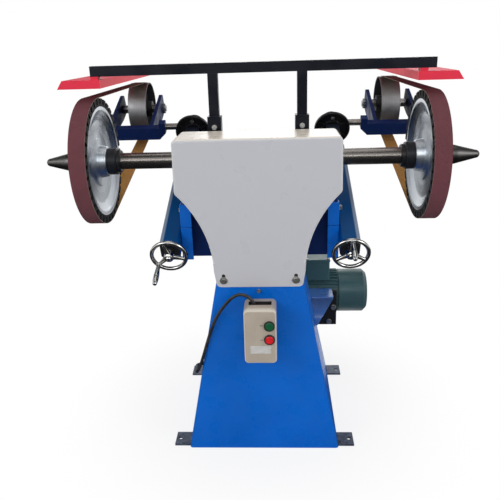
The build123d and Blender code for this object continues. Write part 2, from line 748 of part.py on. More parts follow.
rotor = rod_x(motor_shaft_radius, pulley_x - 24, stator_end + 40, 0, 0)
rotor += rod_x(core_radius, core_start, core_end, 0, 0)
fan_start = stator_end + 14
fan_end = fan_start + 24
fan_hub = 26.0
blade_count = 6
blade_thickness = 3.0
blade = block(fan_start, fan_end, -blade_thickness / 2, blade_thickness / 2, fan_hub - 6, cowl_radius - 12)
fan = rod_x(fan_hub, fan_start, fan_end, 0, 0)
for turn in range(blade_count):
    fan += Rot(turn * 360 / blade_count, 0, 0) * blade
fan -= rod_x(motor_shaft_radius + seat_gap, fan_start - 1, fan_end + 1, 0, 0)
save("motor_rotor", Pos(0, *motor_line) * rotor, Pos(0, *motor_line) * fan)

terminal_centre = (205.0, motor_y - 23)
terminal_size = 94.0
terminal_top = motor_height + 153
terminal_height = 83.0
terminal_plan = Pos(*terminal_centre) * RectangleRounded(terminal_size, terminal_size, 7)
terminal_box = Pos(0, 0, terminal_top - terminal_height) * extrude(terminal_plan, terminal_height)
terminal_box = fillet(terminal_box.edges().group_by(Axis.Z)[-1], 4)
terminal_box -= rod_x(motor_radius + fin_height + 0.2, motor_start, cowl_end, *motor_line)
save("terminal_box", terminal_box)

plate_top = 372.0
plate_inner = 100.0
plate_outer = 277.0
shelf_reach = 105.0
shelf_top = motor_height - motor_foot_height
motor_plate = block(plate_inner, plate_outer, motor_plate_y, motor_plate_y + motor_plate_thickness,
                    shelf_top - motor_plate_thickness, plate_top)
motor_plate += block(plate_inner, plate_outer, motor_plate_y, motor_y + shelf_reach,
                     shelf_top - motor_plate_thickness, shelf_top)
motor_plate -= rod_x(motor_radius + fin_height + 1, plate_inner - 1, plate_outer + 1, *motor_line)
save("motor_plate", motor_plate)

bracket_y = 112.0
bracket_sheet = 8.0
bracket_outer = 258.0
gusset_foot = 200.0
gusset_low = 262.0
rib_low = 246.0
bracket_top = plate_top + bracket_sheet
plate_back = motor_plate_y + motor_plate_thickness
bracket_flange = block(plate_inner, bracket_outer, bracket_y, plate_back, plate_top, bracket_top)
gusset_corners = ((pedestal_top_half, plate_top), (bracket_outer, plate_top), (gusset_foot, gusset_low),
                  (pedestal_top_half, gusset_low))
gusset_outline = Polyline(*[(x, bracket_y, z) for x, z in gusset_corners], close=True)
gusset = extrude(make_face(gusset_outline), bracket_sheet, dir=(0, 1, 0))
bracket = [bracket_flange - pedestal_outside, gusset - pedestal_outside]
for rib_x in (plate_inner + 16, plate_inner + 66):
    rib = block(rib_x, rib_x + bracket_sheet, bracket_y + bracket_sheet, motor_plate_y, rib_low, plate_top)
    bracket.append(rib - pedestal_outside)
save("motor_bracket", *bracket)

# Switch box on the pedestal's front, with a start and a stop button and two glands in a recess on top
box_front = pedestal_front - box_depth
box_wall = 4.0
recess_floor = box_top - 30
recess_half_x = 34.0
recess_half_y = 13.0
switch_box = block(-box_half, box_half, box_front, pedestal_front, box_bottom, box_top)
switch_box = fillet(switch_box.edges().filter_by(Axis.Y), 12)
switch_box = fillet(switch_box.faces().sort_by(Axis.Y)[0].edges(), 7)
switch_box -= block(-box_half + box_wall, box_half - box_wall, box_front + box_wall, pedestal_front + 1,
                    box_bottom + box_wall, recess_floor - box_wall)
switch_box -= block(-recess_half_x, recess_half_x, gland_y - recess_half_y, gland_y + recess_half_y,
                    recess_floor, box_top + 1)
bezel_radius = 16.0
bezel_height = 4.0
stem_inside = 10.0
stem_length = button_stand + stem_inside
for node, height in (("start_button", start_height), ("stop_button", stop_height)):
    on_front = Pos(button_x, box_front, height) * Rot(90, 0, 0)
    switch_box += on_front * extrude(Circle(bezel_radius), bezel_height)
    switch_box -= on_front * Cylinder(button_radius + pass_gap, 4 * box_wall)
    button = on_front * Pos(0, 0, -stem_inside) * extrude(Circle(button_radius), stem_length)
    save(node, fillet(button.edges().group_by(Axis.Y)[0], 2))
save("switch_box", switch_box)

gland_nut = 7.0
gland_top = recess_floor + 10
glands = []
for x in (-gland_x, gland_x):
    nut = extrude(RegularPolygon(10, 6, major_radius=False), gland_nut)
    glands.append(Pos(x, gland_y, recess_floor) * (nut + extrude(Circle(7.5), gland_top - recess_floor)))

# Motor lead: out of the left gland, over and down the pedestal's front, round its left edge and into
# the side panel through a slanted boot
slope_x = (pedestal_base_half - pedestal_top_half) / pedestal_height
boot_entry = Vector(-(pedestal_base_half - slope_x * boot_entry_height), boot_entry_y, boot_entry_height)
boot_direction = Vector(0.30, 0.85, -0.43).normalized()
lead_end = boot_entry - boot_direction * boot_length
lead_route = [
    Vector(-gland_x, gland_y, gland_top), Vector(-gland_x, gland_y, 542), Vector(-27, -293, 559),
    Vector(-44, -292, 571), Vector(-65, -289, 572), Vector(-86, -285, 558), Vector(-108, -281, 532),
    Vector(-133, -276, 494), Vector(-151, -272, 452), Vector(-167, -269, 404), Vector(-182, -269, 354),
    Vector(-200, -258, 300), Vector(-216, -215, 262), Vector(-226, -162, 236), Vector(-232, -110, 218),
    lead_end - boot_direction * 44, lead_end,
]
radii = []
for before, here, after in zip(lead_route, lead_route[1:], lead_route[2:]):
    run = min((here - before).length, (after - here).length)
    turn = math.radians((here - before).get_angle(after - here))
    radii.append(0.45 * run / math.tan(turn / 2))
lead_path = FilletPolyline(*lead_route, radius=radii)
lead_start = Plane(origin=lead_route[0], z_dir=lead_route[1] - lead_route[0])
lead = sweep(lead_start * Circle(lead_radius), path=lead_path)
lead_share = lead.volume / (math.pi * lead_radius ** 2 * lead_path.length)
print("lead radii", [round(radius) for radius in radii])
print("lead length", round(lead_path.length), "volume over section times length", round(lead_share, 6))
save("motor_lead", lead)

boot = Plane(origin=lead_end, z_dir=boot_direction) * Pos(0, 0, boot_length) * Cone(7, 14, 2 * boot_length)
save("cable_glands", *glands, boot - pedestal_outside)

# Fasteners that show: cover, bearing housings, post sockets, motor plate, arm locks and the earth screw
facing_front = Rot(90, 0, 0)
socket_bolt_z = 1033.0
housing_bolt_x = 28.0
housing_bolt_y = housing_half_depth + 10
lock_at = 180.0
lock_x = 20.0
plate_bolts = ((plate_outer - 12, 306.0), (plate_outer - 28, 246.0))
earth_screw = (-4.0, 571.0)
bolts = []
for x_side in (-1, 1):
    cover_bolt = Pos(x_side * cover_bolt_x, pedestal_front - cover_sheet, cover_bolt_z)
    bolts.append(cover_bolt * facing_front * hex_head(13, 8))
    socket_bolt = Pos(x_side * post_x, crossbar_y - socket_half, socket_bolt_z)
    bolts.append(socket_bolt * facing_front * hex_head(13, 8))
    for y_side in (-1, 1):
        for bolt_x in (bearing_x - housing_bolt_x, bearing_x + housing_bolt_x):
            place = Pos(x_side * bolt_x, spindle_y + y_side * housing_bolt_y, head_top + flange_height)
            bolts.append(place * hex_head(15, 10))
    lock = Pos(-x_side * lock_x, -sleeve_size / 2, lock_at) * Rot(90, 0, 0) * hex_head(14, 10)
    bolts.append(arm_frame(x_side) * lock)
for bolt_x, bolt_z in plate_bolts:
    bolts.append(Pos(bolt_x, motor_plate_y, bolt_z) * facing_front * hex_head(17, 9))
bolts.append(Pos(earth_screw[0], pedestal_front, earth_screw[1]) * facing_front * hex_head(10, 6))
save("frame_bolts", *bolts)
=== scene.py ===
import bpy
import json
import math
from mathutils import Matrix, Vector


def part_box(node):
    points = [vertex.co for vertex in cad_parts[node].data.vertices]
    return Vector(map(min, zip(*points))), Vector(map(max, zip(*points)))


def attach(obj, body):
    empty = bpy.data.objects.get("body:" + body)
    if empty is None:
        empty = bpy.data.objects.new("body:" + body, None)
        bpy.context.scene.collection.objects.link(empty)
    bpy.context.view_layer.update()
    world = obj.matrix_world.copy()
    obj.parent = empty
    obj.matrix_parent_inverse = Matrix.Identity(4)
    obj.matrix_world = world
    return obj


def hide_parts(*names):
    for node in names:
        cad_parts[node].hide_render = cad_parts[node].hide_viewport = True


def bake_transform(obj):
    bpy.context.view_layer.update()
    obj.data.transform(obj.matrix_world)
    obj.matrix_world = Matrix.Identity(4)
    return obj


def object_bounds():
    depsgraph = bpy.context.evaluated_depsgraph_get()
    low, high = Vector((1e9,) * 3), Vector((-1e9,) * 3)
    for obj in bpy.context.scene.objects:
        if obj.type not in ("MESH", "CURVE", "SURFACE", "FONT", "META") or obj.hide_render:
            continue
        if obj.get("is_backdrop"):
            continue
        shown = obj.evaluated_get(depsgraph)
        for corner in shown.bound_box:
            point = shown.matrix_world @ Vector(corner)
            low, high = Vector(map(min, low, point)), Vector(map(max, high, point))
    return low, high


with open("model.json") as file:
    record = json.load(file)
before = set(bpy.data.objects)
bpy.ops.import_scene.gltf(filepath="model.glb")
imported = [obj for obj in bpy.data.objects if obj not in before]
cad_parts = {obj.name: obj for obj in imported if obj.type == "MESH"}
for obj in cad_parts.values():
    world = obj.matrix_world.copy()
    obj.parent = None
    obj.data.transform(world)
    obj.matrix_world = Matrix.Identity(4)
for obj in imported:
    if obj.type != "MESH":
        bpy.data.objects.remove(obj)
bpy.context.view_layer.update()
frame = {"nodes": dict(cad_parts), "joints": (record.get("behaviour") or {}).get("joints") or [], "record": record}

# Studio: a pale floor that fades to white away from the machine, a soft window on each side of the user, a
# long one behind the user, one behind the machine and a lamp overhead. The camera stands a step back and a
# little to the right. Dark cloths that only mirrors see lie on the floor, overhead and behind the user.
eye = Vector((0.0554, -1.8669, 1.2745))
eye_turn = math.radians(2.93)
eye_drop = math.radians(19.62)
eye_roll = math.radians(-1.74)
camera = bpy.data.objects.new("user_view", bpy.data.cameras.new("user_view"))
bpy.context.scene.collection.objects.link(camera)
camera.data.sensor_width = 36.0
camera.data.lens = 41.86
camera.matrix_world = (Matrix.Translation(eye) @ Matrix.Rotation(eye_turn, 4, "Z")
                       @ Matrix.Rotation(math.radians(90) - eye_drop, 4, "X")
                       @ Matrix.Rotation(eye_roll, 4, "Z"))
bpy.context.scene.camera = camera
bpy.context.scene.view_settings.view_transform = "Standard"


def soft_lamp(name, place, target, width, height, power):
    lamp = bpy.data.objects.new(name, bpy.data.lights.new(name, "AREA"))
    lamp.data.shape = "RECTANGLE"
    lamp.data.size = width
    lamp.data.size_y = height
    lamp.data.energy = power
    lamp.location = place
    lamp.rotation_euler = (Vector(target) - Vector(place)).to_track_quat("-Z", "Y").to_euler()
    bpy.context.scene.collection.objects.link(lamp)


machine_middle = (0.0, 0.1, 0.7)
soft_lamp("left_window", (-2.4, -2.3, 2.3), machine_middle, 1.6, 1.6, 38)
soft_lamp("right_window", (2.6, -1.9, 1.9), machine_middle, 1.4, 1.4, 32)
soft_lamp("front_window", (-0.3, -4.0, 2.35), machine_middle, 4.4, 0.7, 38)
soft_lamp("roof_light", (0.2, 0.3, 3.2), machine_middle, 2.2, 2.2, 26)
soft_lamp("rear_window", (0.5, 4.2, 2.2), machine_middle, 2.6, 1.4, 24)


def feed(tree, socket, value):
    """Set a shader input to a value, or link it to the socket that makes one."""
    if isinstance(value, bpy.types.NodeSocket):
        tree.links.new(value, socket)
    else:
        socket.default_value = value


def add(tree, kind, settings=None, **inputs):
    """A shader node with its settings and its inputs."""
    node = tree.nodes.new(kind)
    for key, value in (settings or {}).items():
        setattr(node, key, value)
    for key, value in inputs.items():
        feed(tree, node.inputs[key.replace("_", " ")], value)
    return node


def calculated(tree, operation, *values):
    """The result of a calculation on numbers and sockets."""
    node = add(tree, "ShaderNodeMath", {"operation": operation})
    for socket, value in zip(node.inputs, values):
        feed(tree, socket, value)
    return node.outputs[0]


def own_place(tree):
    """Places on the piece itself, in metres."""
    return add(tree, "ShaderNodeTexCoord").outputs["Object"]


def seen_directly(tree):
    """One for rays from the eye, a mirror or clear glass, and nought for the light on the machine."""
    rays = add(tree, "ShaderNodeLightPath").outputs
    mirrored = calculated(tree, "MAXIMUM", rays["Is Glossy Ray"], rays["Is Transmission Ray"])
    return calculated(tree, "MAXIMUM", rays["Is Camera Ray"], mirrored)


room = bpy.data.worlds.new("white_room")
room.use_nodes = True
bpy.context.scene.world = room
room_light = room.node_tree.nodes["Background"]
ambient_level = 0.26
level = add(room.node_tree, "ShaderNodeMapRange", Value=seen_directly(room.node_tree), To_Min=ambient_level)
room.node_tree.links.new(level.outputs["Result"], room_light.inputs["Strength"])
room_light.inputs["Color"].default_value = (1.0, 1.0, 1.0, 1.0)

bpy.ops.object.select_all(action="DESELECT")
bpy.ops.mesh.primitive_plane_add(size=24.0)
floor = bpy.context.object
floor.name = "studio_floor"
floor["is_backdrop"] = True
floor_paint = bpy.data.materials.new("floor_paint")
floor_paint.use_nodes = True
tree = floor_paint.node_tree
paint = tree.nodes["Principled BSDF"]
paint.inputs["Base Color"].default_value = (0.9, 0.9, 0.9, 1.0)
paint.inputs["Roughness"].default_value = 0.9
fade_start = 0.3
fade_end = 0.8
near_share = 0.84
distance = add(tree, "ShaderNodeVectorMath", {"operation": "LENGTH"}, Vector=own_place(tree)).outputs["Value"]
far = add(tree, "ShaderNodeMapRange", {"interpolation_type": "SMOOTHSTEP"}, Value=distance, From_Min=fade_start,
          From_Max=fade_end, To_Min=near_share).outputs["Result"]
glow = add(tree, "ShaderNodeEmission", Strength=1.0)
mixed = add(tree, "ShaderNodeMixShader", Fac=calculated(tree, "MULTIPLY", far, seen_directly(tree)))
tree.links.new(paint.outputs[0], mixed.inputs[1])
tree.links.new(glow.outputs[0], mixed.inputs[2])
tree.links.new(mixed.outputs[0], tree.nodes["Material Output"].inputs["Surface"])
floor.data.materials.append(floor_paint)

dark_cloth = bpy.data.materials.new("dark_cloth")
dark_cloth.use_nodes = True
weave = dark_cloth.node_tree.nodes["Principled BSDF"]
weave.inputs["Base Color"].default_value = (0.03, 0.03, 0.033, 1.0)
weave.inputs["Roughness"].default_value = 0.95


def dark_screen(name, width, height, place, turn=(0.0, 0.0, 0.0)):
    """A dark cloth out of the picture that gives the metal and the gloss something dark to mirror."""
    bpy.ops.object.select_all(action="DESELECT")
    bpy.ops.mesh.primitive_plane_add(size=1.0, location=place, rotation=turn)
    screen = bpy.context.object
    screen.name = name
    screen.scale = (width, height, 1.0)
    bpy.ops.object.transform_apply(location=True, rotation=True, scale=True)
    screen.data.materials.append(dark_cloth)
    for ray in ("camera", "diffuse", "transmission", "shadow"):
        setattr(screen, f"visible_{ray}", False)
    screen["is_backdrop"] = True


cloth_lift = 0.004
dark_screen("cloth_in_front", 7.0, 4.3, (0.0, -1.95, cloth_lift))
dark_screen("cloth_behind_left", 3.6, 4.2, (-1.65, 2.3, cloth_lift))
dark_screen("cloth_behind_right", 3.0, 4.2, (1.96, 2.3, cloth_lift))
dark_screen("cloth_overhead", 6.5, 6.0, (0.0, 1.0, 3.5))
dark_screen("cloth_behind_user", 6.0, 1.9, (0.0, -4.3, 0.95), (math.radians(90), 0.0, 0.0))

# Pedestal and head: bent and welded sheet steel under bright blue enamel, sprayed on and a little uneven, the
# head's in a darker copy of it that is painted shade.
# The front and rear panels are folded, the sides are flat, and a thick plate closes the top.
body_of_node = {node: body for body, group in frame["record"]["behaviour"]["bodies"].items() for node in group}


def set_shader(material, **inputs):
    shader = material.node_tree.nodes["Principled BSDF"]
    for key, value in inputs.items():
        feed(material.node_tree, shader.inputs[key.replace("_", " ")], value)


def finish(name, colour, roughness, metallic=0.0, coat=0.0, sheen=0.5):
    """A plain finish, ready for grain, tint and dents."""
    material = bpy.data.materials.new(name)
    material.use_nodes = True
    set_shader(material, Base_Color=(*colour, 1.0), Roughness=roughness, Metallic=metallic, Coat_Weight=coat,
               Coat_Roughness=0.12, Specular_IOR_Level=sheen)
    return material


def grain(material, scale, detail=3.0, stretch=(1.0, 1.0, 1.0)):
    """Noise fixed to the piece; a stretch below one draws it out along that axis."""
    tree = material.node_tree
    place = add(tree, "ShaderNodeMapping", Vector=own_place(tree), Scale=stretch).outputs["Vector"]
    return add(tree, "ShaderNodeTexNoise", Vector=place, Scale=scale, Detail=detail).outputs["Fac"]


def ramp(material, value, low, high, from_low, from_high):
    """A value carried from one range to another, held at both ends."""
    return add(material.node_tree, "ShaderNodeMapRange", Value=value, From_Min=from_low, From_Max=from_high,
               To_Min=low, To_Max=high).outputs["Result"]


def tint(material, value, dark, light, from_low=0.3, from_high=0.7):
    """Colour between two shades of the finish."""
    blend = add(material.node_tree, "ShaderNodeValToRGB", Fac=value)
    blend.color_ramp.elements[0].position = from_low
    blend.color_ramp.elements[0].color = (*dark, 1.0)
    blend.color_ramp.elements[1].position = from_high
    blend.color_ramp.elements[1].color = (*light, 1.0)
    return blend.outputs["Color"]


def over(material, below, above, share):
    """One colour laid over another where the share is one."""
    return add(material.node_tree, "ShaderNodeMix", {"data_type": "RGBA"}, Factor=share, A=below,
               B=(*above, 1.0)).outputs["Result"]


def dent(material, height, depth):
    """Relief of that depth in metres."""
    relief = add(material.node_tree, "ShaderNodeBump", Height=height, Distance=depth, Strength=1.0)
    set_shader(material, Normal=relief.outputs["Normal"])


def edges(material, width):
    """One along the edges of a piece and nought on its flats, from its normals taken over that width."""
    tree = material.node_tree
    edge_match = 0.8
    flat_match = 0.985
    rounded = add(tree, "ShaderNodeBevel", {"samples": 6}, Radius=width).outputs["Normal"]
    alike = add(tree, "ShaderNodeVectorMath", {"operation": "DOT_PRODUCT"}, Vector=rounded)
    tree.links.new(add(tree, "ShaderNodeNewGeometry").outputs["Normal"], alike.inputs[1])
    return ramp(material, alike.outputs["Value"], 1.0, 0.0, edge_match, flat_match)


def shades(colour, spread):
    return [value * (1 - spread) for value in colour], [min(1.0, value * (1 + spread)) for value in colour]


def enamel(name, colour, edge_wear_and_highlight, roughness=0.3, spread=0.1, peel=0.00003, dulled=0.2, sheen=0.3):
    """Sprayed enamel: cloudy colour, fine orange peel, dull patches, and edges laid over with a paler shade that
    is partly rubbed paint and partly a painted highlight.
    """
    material = finish(name, colour, roughness, sheen=sheen)
    cloud = tint(material, grain(material, 3.5, 5.0), *shades(colour, spread))
    patches = ramp(material, grain(material, 40.0, 6.0), 0.0, 0.8, 0.4, 0.6)
    # Painted highlight and wear: a paler colour along the edges, broken into patches.
    worn = calculated(material.node_tree, "MULTIPLY", edges(material, 0.0015), patches)
    set_shader(material, Base_Color=over(material, cloud, edge_wear_and_highlight, worn))
    set_shader(material, Roughness=ramp(material, grain(material, 18.0, 4.0), roughness - dulled / 3,
                                        roughness + dulled * 2 / 3, 0.35, 0.7))
    dent(material, grain(material, 420.0, 2.0), peel)
    return material


def select_only(piece):
    bpy.ops.object.select_all(action="DESELECT")
    piece.select_set(True)
    bpy.context.view_layer.objects.active = piece


def modify(piece, kind, **settings):
    select_only(piece)
    modifier = piece.modifiers.new(kind.lower(), kind)
    for key, value in settings.items():
        setattr(modifier, key, value)
    bpy.ops.object.modifier_apply(modifier=modifier.name)


smooth_margin = 8
same_spot = 0.00001
flat_within = math.radians(0.08)


def ease(piece, edge, sharp=32.0, rows=2):
    """Break the sharp edges to a small round and shade what is between them smooth."""
    if edge:
        modify(piece, "BEVEL", width=edge, segments=rows, limit_method="ANGLE", angle_limit=math.radians(sharp),
               use_clamp_overlap=False, miter_outer="MITER_ARC")
    select_only(piece)
    bpy.ops.object.shade_smooth_by_angle(angle=math.radians(sharp + smooth_margin))
    modify(piece, "WEIGHTED_NORMAL", keep_sharp=True, weight=60)


def carry(piece, node, material):
    """The piece takes its node's place, body and slot."""
    piece.data.materials.clear()
    piece.data.materials.append(material)
    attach(piece, body_of_node[node])
    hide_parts(node)
    return piece


def dressed(node, material, edge, sharp=32.0):
    """The node's own shape as one clean mesh under a finish, its edges broken unless the edge is nought."""
    piece = bpy.data.objects.new(f"{node}_dressed", frame["nodes"][node].data.copy())
    bpy.context.scene.collection.objects.link(piece)
    select_only(piece)
    bpy.ops.object.mode_set(mode="EDIT")
    bpy.ops.mesh.select_all(action="SELECT")
    bpy.ops.mesh.remove_doubles(threshold=same_spot)
    bpy.ops.mesh.dissolve_limited(angle_limit=flat_within)
    bpy.ops.object.mode_set(mode="OBJECT")
    ease(piece, edge, sharp)
    return carry(piece, node, material)


blue_enamel = enamel("blue_enamel", (0.0, 0.122, 0.56), (0.10, 0.30, 0.66), sheen=0.18)
# Painted reflection: the motor bracket takes a paler, greyer copy of the blue, standing in for the light it
# mirrors.
painted_reflection_bracket_enamel = enamel("painted_reflection_bracket_enamel", (0.06, 0.165, 0.46), (0.2, 0.34, 0.62), sheen=0.5)
# Painted shade: the head, its plates and housings take a darker copy of the pedestal's blue, for the shade under
# the cover.
shaded_head_enamel = enamel("shaded_head_enamel", (0.0, 0.056, 0.23), (0.10, 0.26, 0.52), 0.2, dulled=0.1, sheen=0.45)
painted_shade_front_enamel = enamel("painted_shade_front_enamel", (0.0, 0.018, 0.115), (0.02, 0.08, 0.25), 0.4, sheen=0.15)
for node in ("pedestal_front_panel", "pedestal_rear_panel", "pedestal_side_panels"):
    dressed(node, blue_enamel, 0.0007)
dressed("motor_bracket", painted_reflection_bracket_enamel, 0.0007)
for node in ("pedestal_top_plate", "head_top_plates", "bearing_housings"):
    dressed(node, shaded_head_enamel, 0.0015)
frame["nodes"]["head_webs"].data.materials[0] = shaded_head_enamel
shell = dressed("head_shell", shaded_head_enamel, 0.0015)
shell.data.materials.append(painted_shade_front_enamel)
# Painted shade: the shell's faces that look to the front take a still darker blue, for the shade under the cover.
front_facing = -0.5
for face in shell.data.polygons:
    face.material_index = 1 if face.normal.y < front_facing else 0

# Corner brackets: an angle iron welded upright on each front corner of the head, in two lengths with a seam
# between them. The arm is welded to it as well as to the head.


def added(piece, body, material):
    """A piece of its own that stands for no node."""
    piece.data.materials.clear()
    piece.data.materials.append(material)
    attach(piece, body)
    return piece


def joined(name, pieces):
    """Several shapes as one piece, its place worked into its mesh."""
    bpy.ops.object.select_all(action="DESELECT")
    for piece in pieces:
        piece.select_set(True)
    bpy.context.view_layer.objects.active = pieces[0]
    bpy.ops.object.join()
    whole = bpy.context.object
    whole.name = name
    return whole


def drawn(name, points):
    """A line through those points, left in edit mode with all of it selected."""
    bpy.ops.object.select_all(action="DESELECT")
    bpy.ops.mesh.primitive_plane_add(size=0.001)
    piece = bpy.context.object
    piece.name = name
    bpy.ops.object.mode_set(mode="EDIT")
    bpy.ops.mesh.select_mode(type="VERT")
    bpy.ops.mesh.select_all(action="SELECT")
    bpy.ops.mesh.merge(type="CENTER")
    bpy.ops.transform.translate(value=points[0])
    for here, ahead in zip(points, points[1:]):
        bpy.ops.mesh.extrude_vertices_move(TRANSFORM_OT_translate={"value": Vector(ahead) - Vector(here)})
    bpy.ops.mesh.select_all(action="SELECT")
    return piece


shell_low, shell_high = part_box("head_shell")
angle_width = 0.034
angle_reach = 0.034
angle_wall = 0.005
angle_edge = 0.0015
angle_seam = 0.7495
angle_top = 0.822
seam_half = 0.0005
back_gap = 0.0005
side_gap = 0.0004
foot_gap = 0.001
for side, outward in (("left", -1), ("right", 1)):
    outer = outward * (shell_high[0] - side_gap)
    inner = outer - outward * angle_width
    web = outer - outward * angle_wall
    back = shell_low[1] - back_gap
    front = back - angle_reach
    flange = front + angle_wall
    section = ((outer, back), (outer, front), (inner, front), (inner, flange), (web, flange), (web, back))
    lengths = []
    for low, high in ((shell_low[2] + foot_gap, angle_seam - seam_half), (angle_seam + seam_half, angle_top)):
        angle = drawn("angle", [(x, y, low) for x, y in section])
        bpy.ops.mesh.edge_face_add()
        bpy.ops.mesh.extrude_region_move(TRANSFORM_OT_translate={"value": (0.0, 0.0, high - low)})
        bpy.ops.mesh.select_all(action="SELECT")
        bpy.ops.mesh.normals_make_consistent(inside=False)
        bpy.ops.object.mode_set(mode="OBJECT")
        ease(angle, angle_edge)
        lengths.append(angle)
    added(joined(f"corner_bracket_{side}", lengths), "frame", blue_enamel)

# Feet: offcuts of dark flat bar with the mill scale still on, drilled for floor anchors and welded under the
# pedestal's corners.
scale_steel = finish("scale_steel", (0.06, 0.075, 0.11), 0.5, metallic=0.6)
set_shader(scale_steel, Base_Color=tint(scale_steel, grain(scale_steel, 60.0, 6.0), (0.046, 0.058, 0.095),
                                        (0.14, 0.165, 0.21)))
dent(scale_steel, grain(scale_steel, 240.0, 4.0), 0.0002)
dressed("floor_feet", scale_steel, 0.0008)

# Spindle: a long steel bar, turned and oiled dark, with a tapered end screwed on outside each wheel and
# a black stepped collar that clamps the wheel from inside.


def placed_along(tree, axis):
    """How far along X, Y or Z a spot is."""
    return add(tree, "ShaderNodeSeparateXYZ", Vector=own_place(tree)).outputs[axis]


def turned_lines(material, scale, detail):
    """Fine lines left by the lathe, round the spindle's own direction."""
    tree = material.node_tree
    return add(tree, "ShaderNodeTexNoise", {"noise_dimensions": "1D"}, W=placed_along(tree, "X"), Scale=scale,
               Detail=detail).outputs["Fac"]


def turned_steel(name, dark, light, roughness):
    """Steel off the lathe: stained in soft bands, with fine lines that scatter the light."""
    material = finish(name, light, roughness, metallic=1.0)
    set_shader(material, Base_Color=tint(material, grain(material, 9.0, 5.0, (0.35, 1.0, 1.0)), dark, light))
    lines = turned_lines(material, 900.0, 4.0)
    set_shader(material, Roughness=ramp(material, lines, roughness - 0.06, roughness + 0.1, 0.3, 0.7))
    dent(material, lines, 0.00003)
    return material


spindle_steel = turned_steel("spindle_steel", (0.16, 0.145, 0.135), (0.235, 0.218, 0.205), 0.27)
taper_steel = turned_steel("taper_steel", (0.06, 0.058, 0.056), (0.12, 0.117, 0.114), 0.36)
bright_steel = turned_steel("bright_steel", (0.20, 0.20, 0.20), (0.40, 0.40, 0.39), 0.3)
collar_black = enamel("collar_black", (0.012, 0.013, 0.016), (0.10, 0.10, 0.105), 0.34, 0.3)
dressed("spindle", spindle_steel, 0.0008)
dressed("taper_ends", taper_steel, 0.0008)
dressed("wheel_collars", collar_black, 0.0008)
frame["nodes"]["spindle_bearings"].data.materials[0] = bright_steel

# Contact wheels: dished aluminium discs, faced on a lathe so that they mirror in wedges and left matt round the
# hub, with a rubber tyre moulded on. Slanted serrations in the rubber make the belt cut harder.


def joint_named(name):
    return next(joint for joint in frame["joints"] if joint["name"] == name)


wheel_y, wheel_z = joint_named("spindle_spin")["pos_m"][1:]
faced_aluminium = finish("faced_aluminium", (0.55, 0.59, 0.63), 0.3, metallic=1.0)
tree = faced_aluminium.node_tree
boss_edge = 0.085
dish_start = 0.12
from_axle = add(tree, "ShaderNodeMapping", Vector=own_place(tree), Location=(0.0, -wheel_y, -wheel_z),
                Scale=(0.0, 1.0, 1.0)).outputs["Vector"]
radius = add(tree, "ShaderNodeVectorMath", {"operation": "LENGTH"}, Vector=from_axle).outputs["Value"]
rings = add(tree, "ShaderNodeTexNoise", {"noise_dimensions": "1D"}, W=radius, Scale=700.0,
            Detail=5.0).outputs["Fac"]
dish_roughness = ramp(faced_aluminium, rings, 0.24, 0.32, 0.3, 0.7)
boss_roughness = ramp(faced_aluminium, radius, 0.45, 0.0, boss_edge, dish_start)
round_axle = add(tree, "ShaderNodeTangent", {"direction_type": "RADIAL", "axis": "X"}).outputs["Tangent"]
set_shader(faced_aluminium, Base_Color=tint(faced_aluminium, rings, (0.50, 0.54, 0.58), (0.61, 0.65, 0.69)),
           Roughness=calculated(tree, "MAXIMUM", dish_roughness, boss_roughness), Tangent=round_axle,
           Anisotropic=0.8, Anisotropic_Rotation=0.25)

tyre_rubber = finish("tyre_rubber", (0.03, 0.034, 0.032), 0.75, sheen=0.25)
set_shader(tyre_rubber, Base_Color=tint(tyre_rubber, grain(tyre_rubber, 34.0, 6.0), (0.007, 0.007, 0.007),
                                        (0.024, 0.025, 0.024)))
dent(tyre_rubber, grain(tyre_rubber, 520.0, 3.0), 0.00015)
tooth_count = 36
slot_floor = 0.1795
slot_depth = 0.022
slot_width = 0.0086
slot_length = 0.1
slot_edge = 0.0005
side_facing = 0.6
painted_shade_rubber = finish("painted_shade_rubber", (0.004, 0.004, 0.004), 0.9, sheen=0.1)
dent(painted_shade_rubber, grain(painted_shade_rubber, 300.0, 3.0), 0.0002)
for side, slot_skew in (("left", math.radians(-30)), ("right", math.radians(30))):
    dressed(f"contact_wheel_{side}", faced_aluminium, 0.0, sharp=22.0)
    tyre = dressed(f"contact_tyre_{side}", tyre_rubber, 0.0)
    low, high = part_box(f"contact_tyre_{side}")
    cutters = []
    for tooth in range(tooth_count):
        bpy.ops.object.select_all(action="DESELECT")
        bpy.ops.mesh.primitive_cube_add(size=1.0)
        cutter = bpy.context.object
        cutter.data.transform(
            Matrix.Translation(((low[0] + high[0]) / 2, wheel_y, wheel_z))
            @ Matrix.Rotation(tooth * 2 * math.pi / tooth_count, 4, "X")
            @ Matrix.Translation((0.0, 0.0, slot_floor + slot_depth / 2)) @ Matrix.Rotation(slot_skew, 4, "Z")
            @ Matrix.Diagonal((slot_length, slot_width, slot_depth, 1.0)))
        cutters.append(cutter)
    cutter = joined("slot_cutters", cutters)
    modify(tyre, "BOOLEAN", operation="DIFFERENCE", object=cutter, solver="EXACT")
    bpy.data.objects.remove(cutter)
    ease(tyre, slot_edge)
    tyre.data.materials.append(painted_shade_rubber)
    # Painted shade: every face but the tyre's sides, so the tread and the serrations, takes a near-black rubber
    # for the shade in the slots.
    for face in tyre.data.polygons:
        face.material_index = 0 if abs(face.normal.x) > side_facing else 1

# Abrasive belts: maroon grit on tan cloth, joined end to end with a slanted lap. Each belt is made in two
# lengths, the runs and the wrap round the idler.
belt_width = 0.05
belt_thick = 0.0012
wheel_touch = 0.1988
idler_touch = 0.1103
wrap_reach = 0.30
lap_at = 1.02
lap_slant = 0.9
lap_half = 0.0012
runs_rows = 150
wrap_rows = 90
edge_facing = 0.7

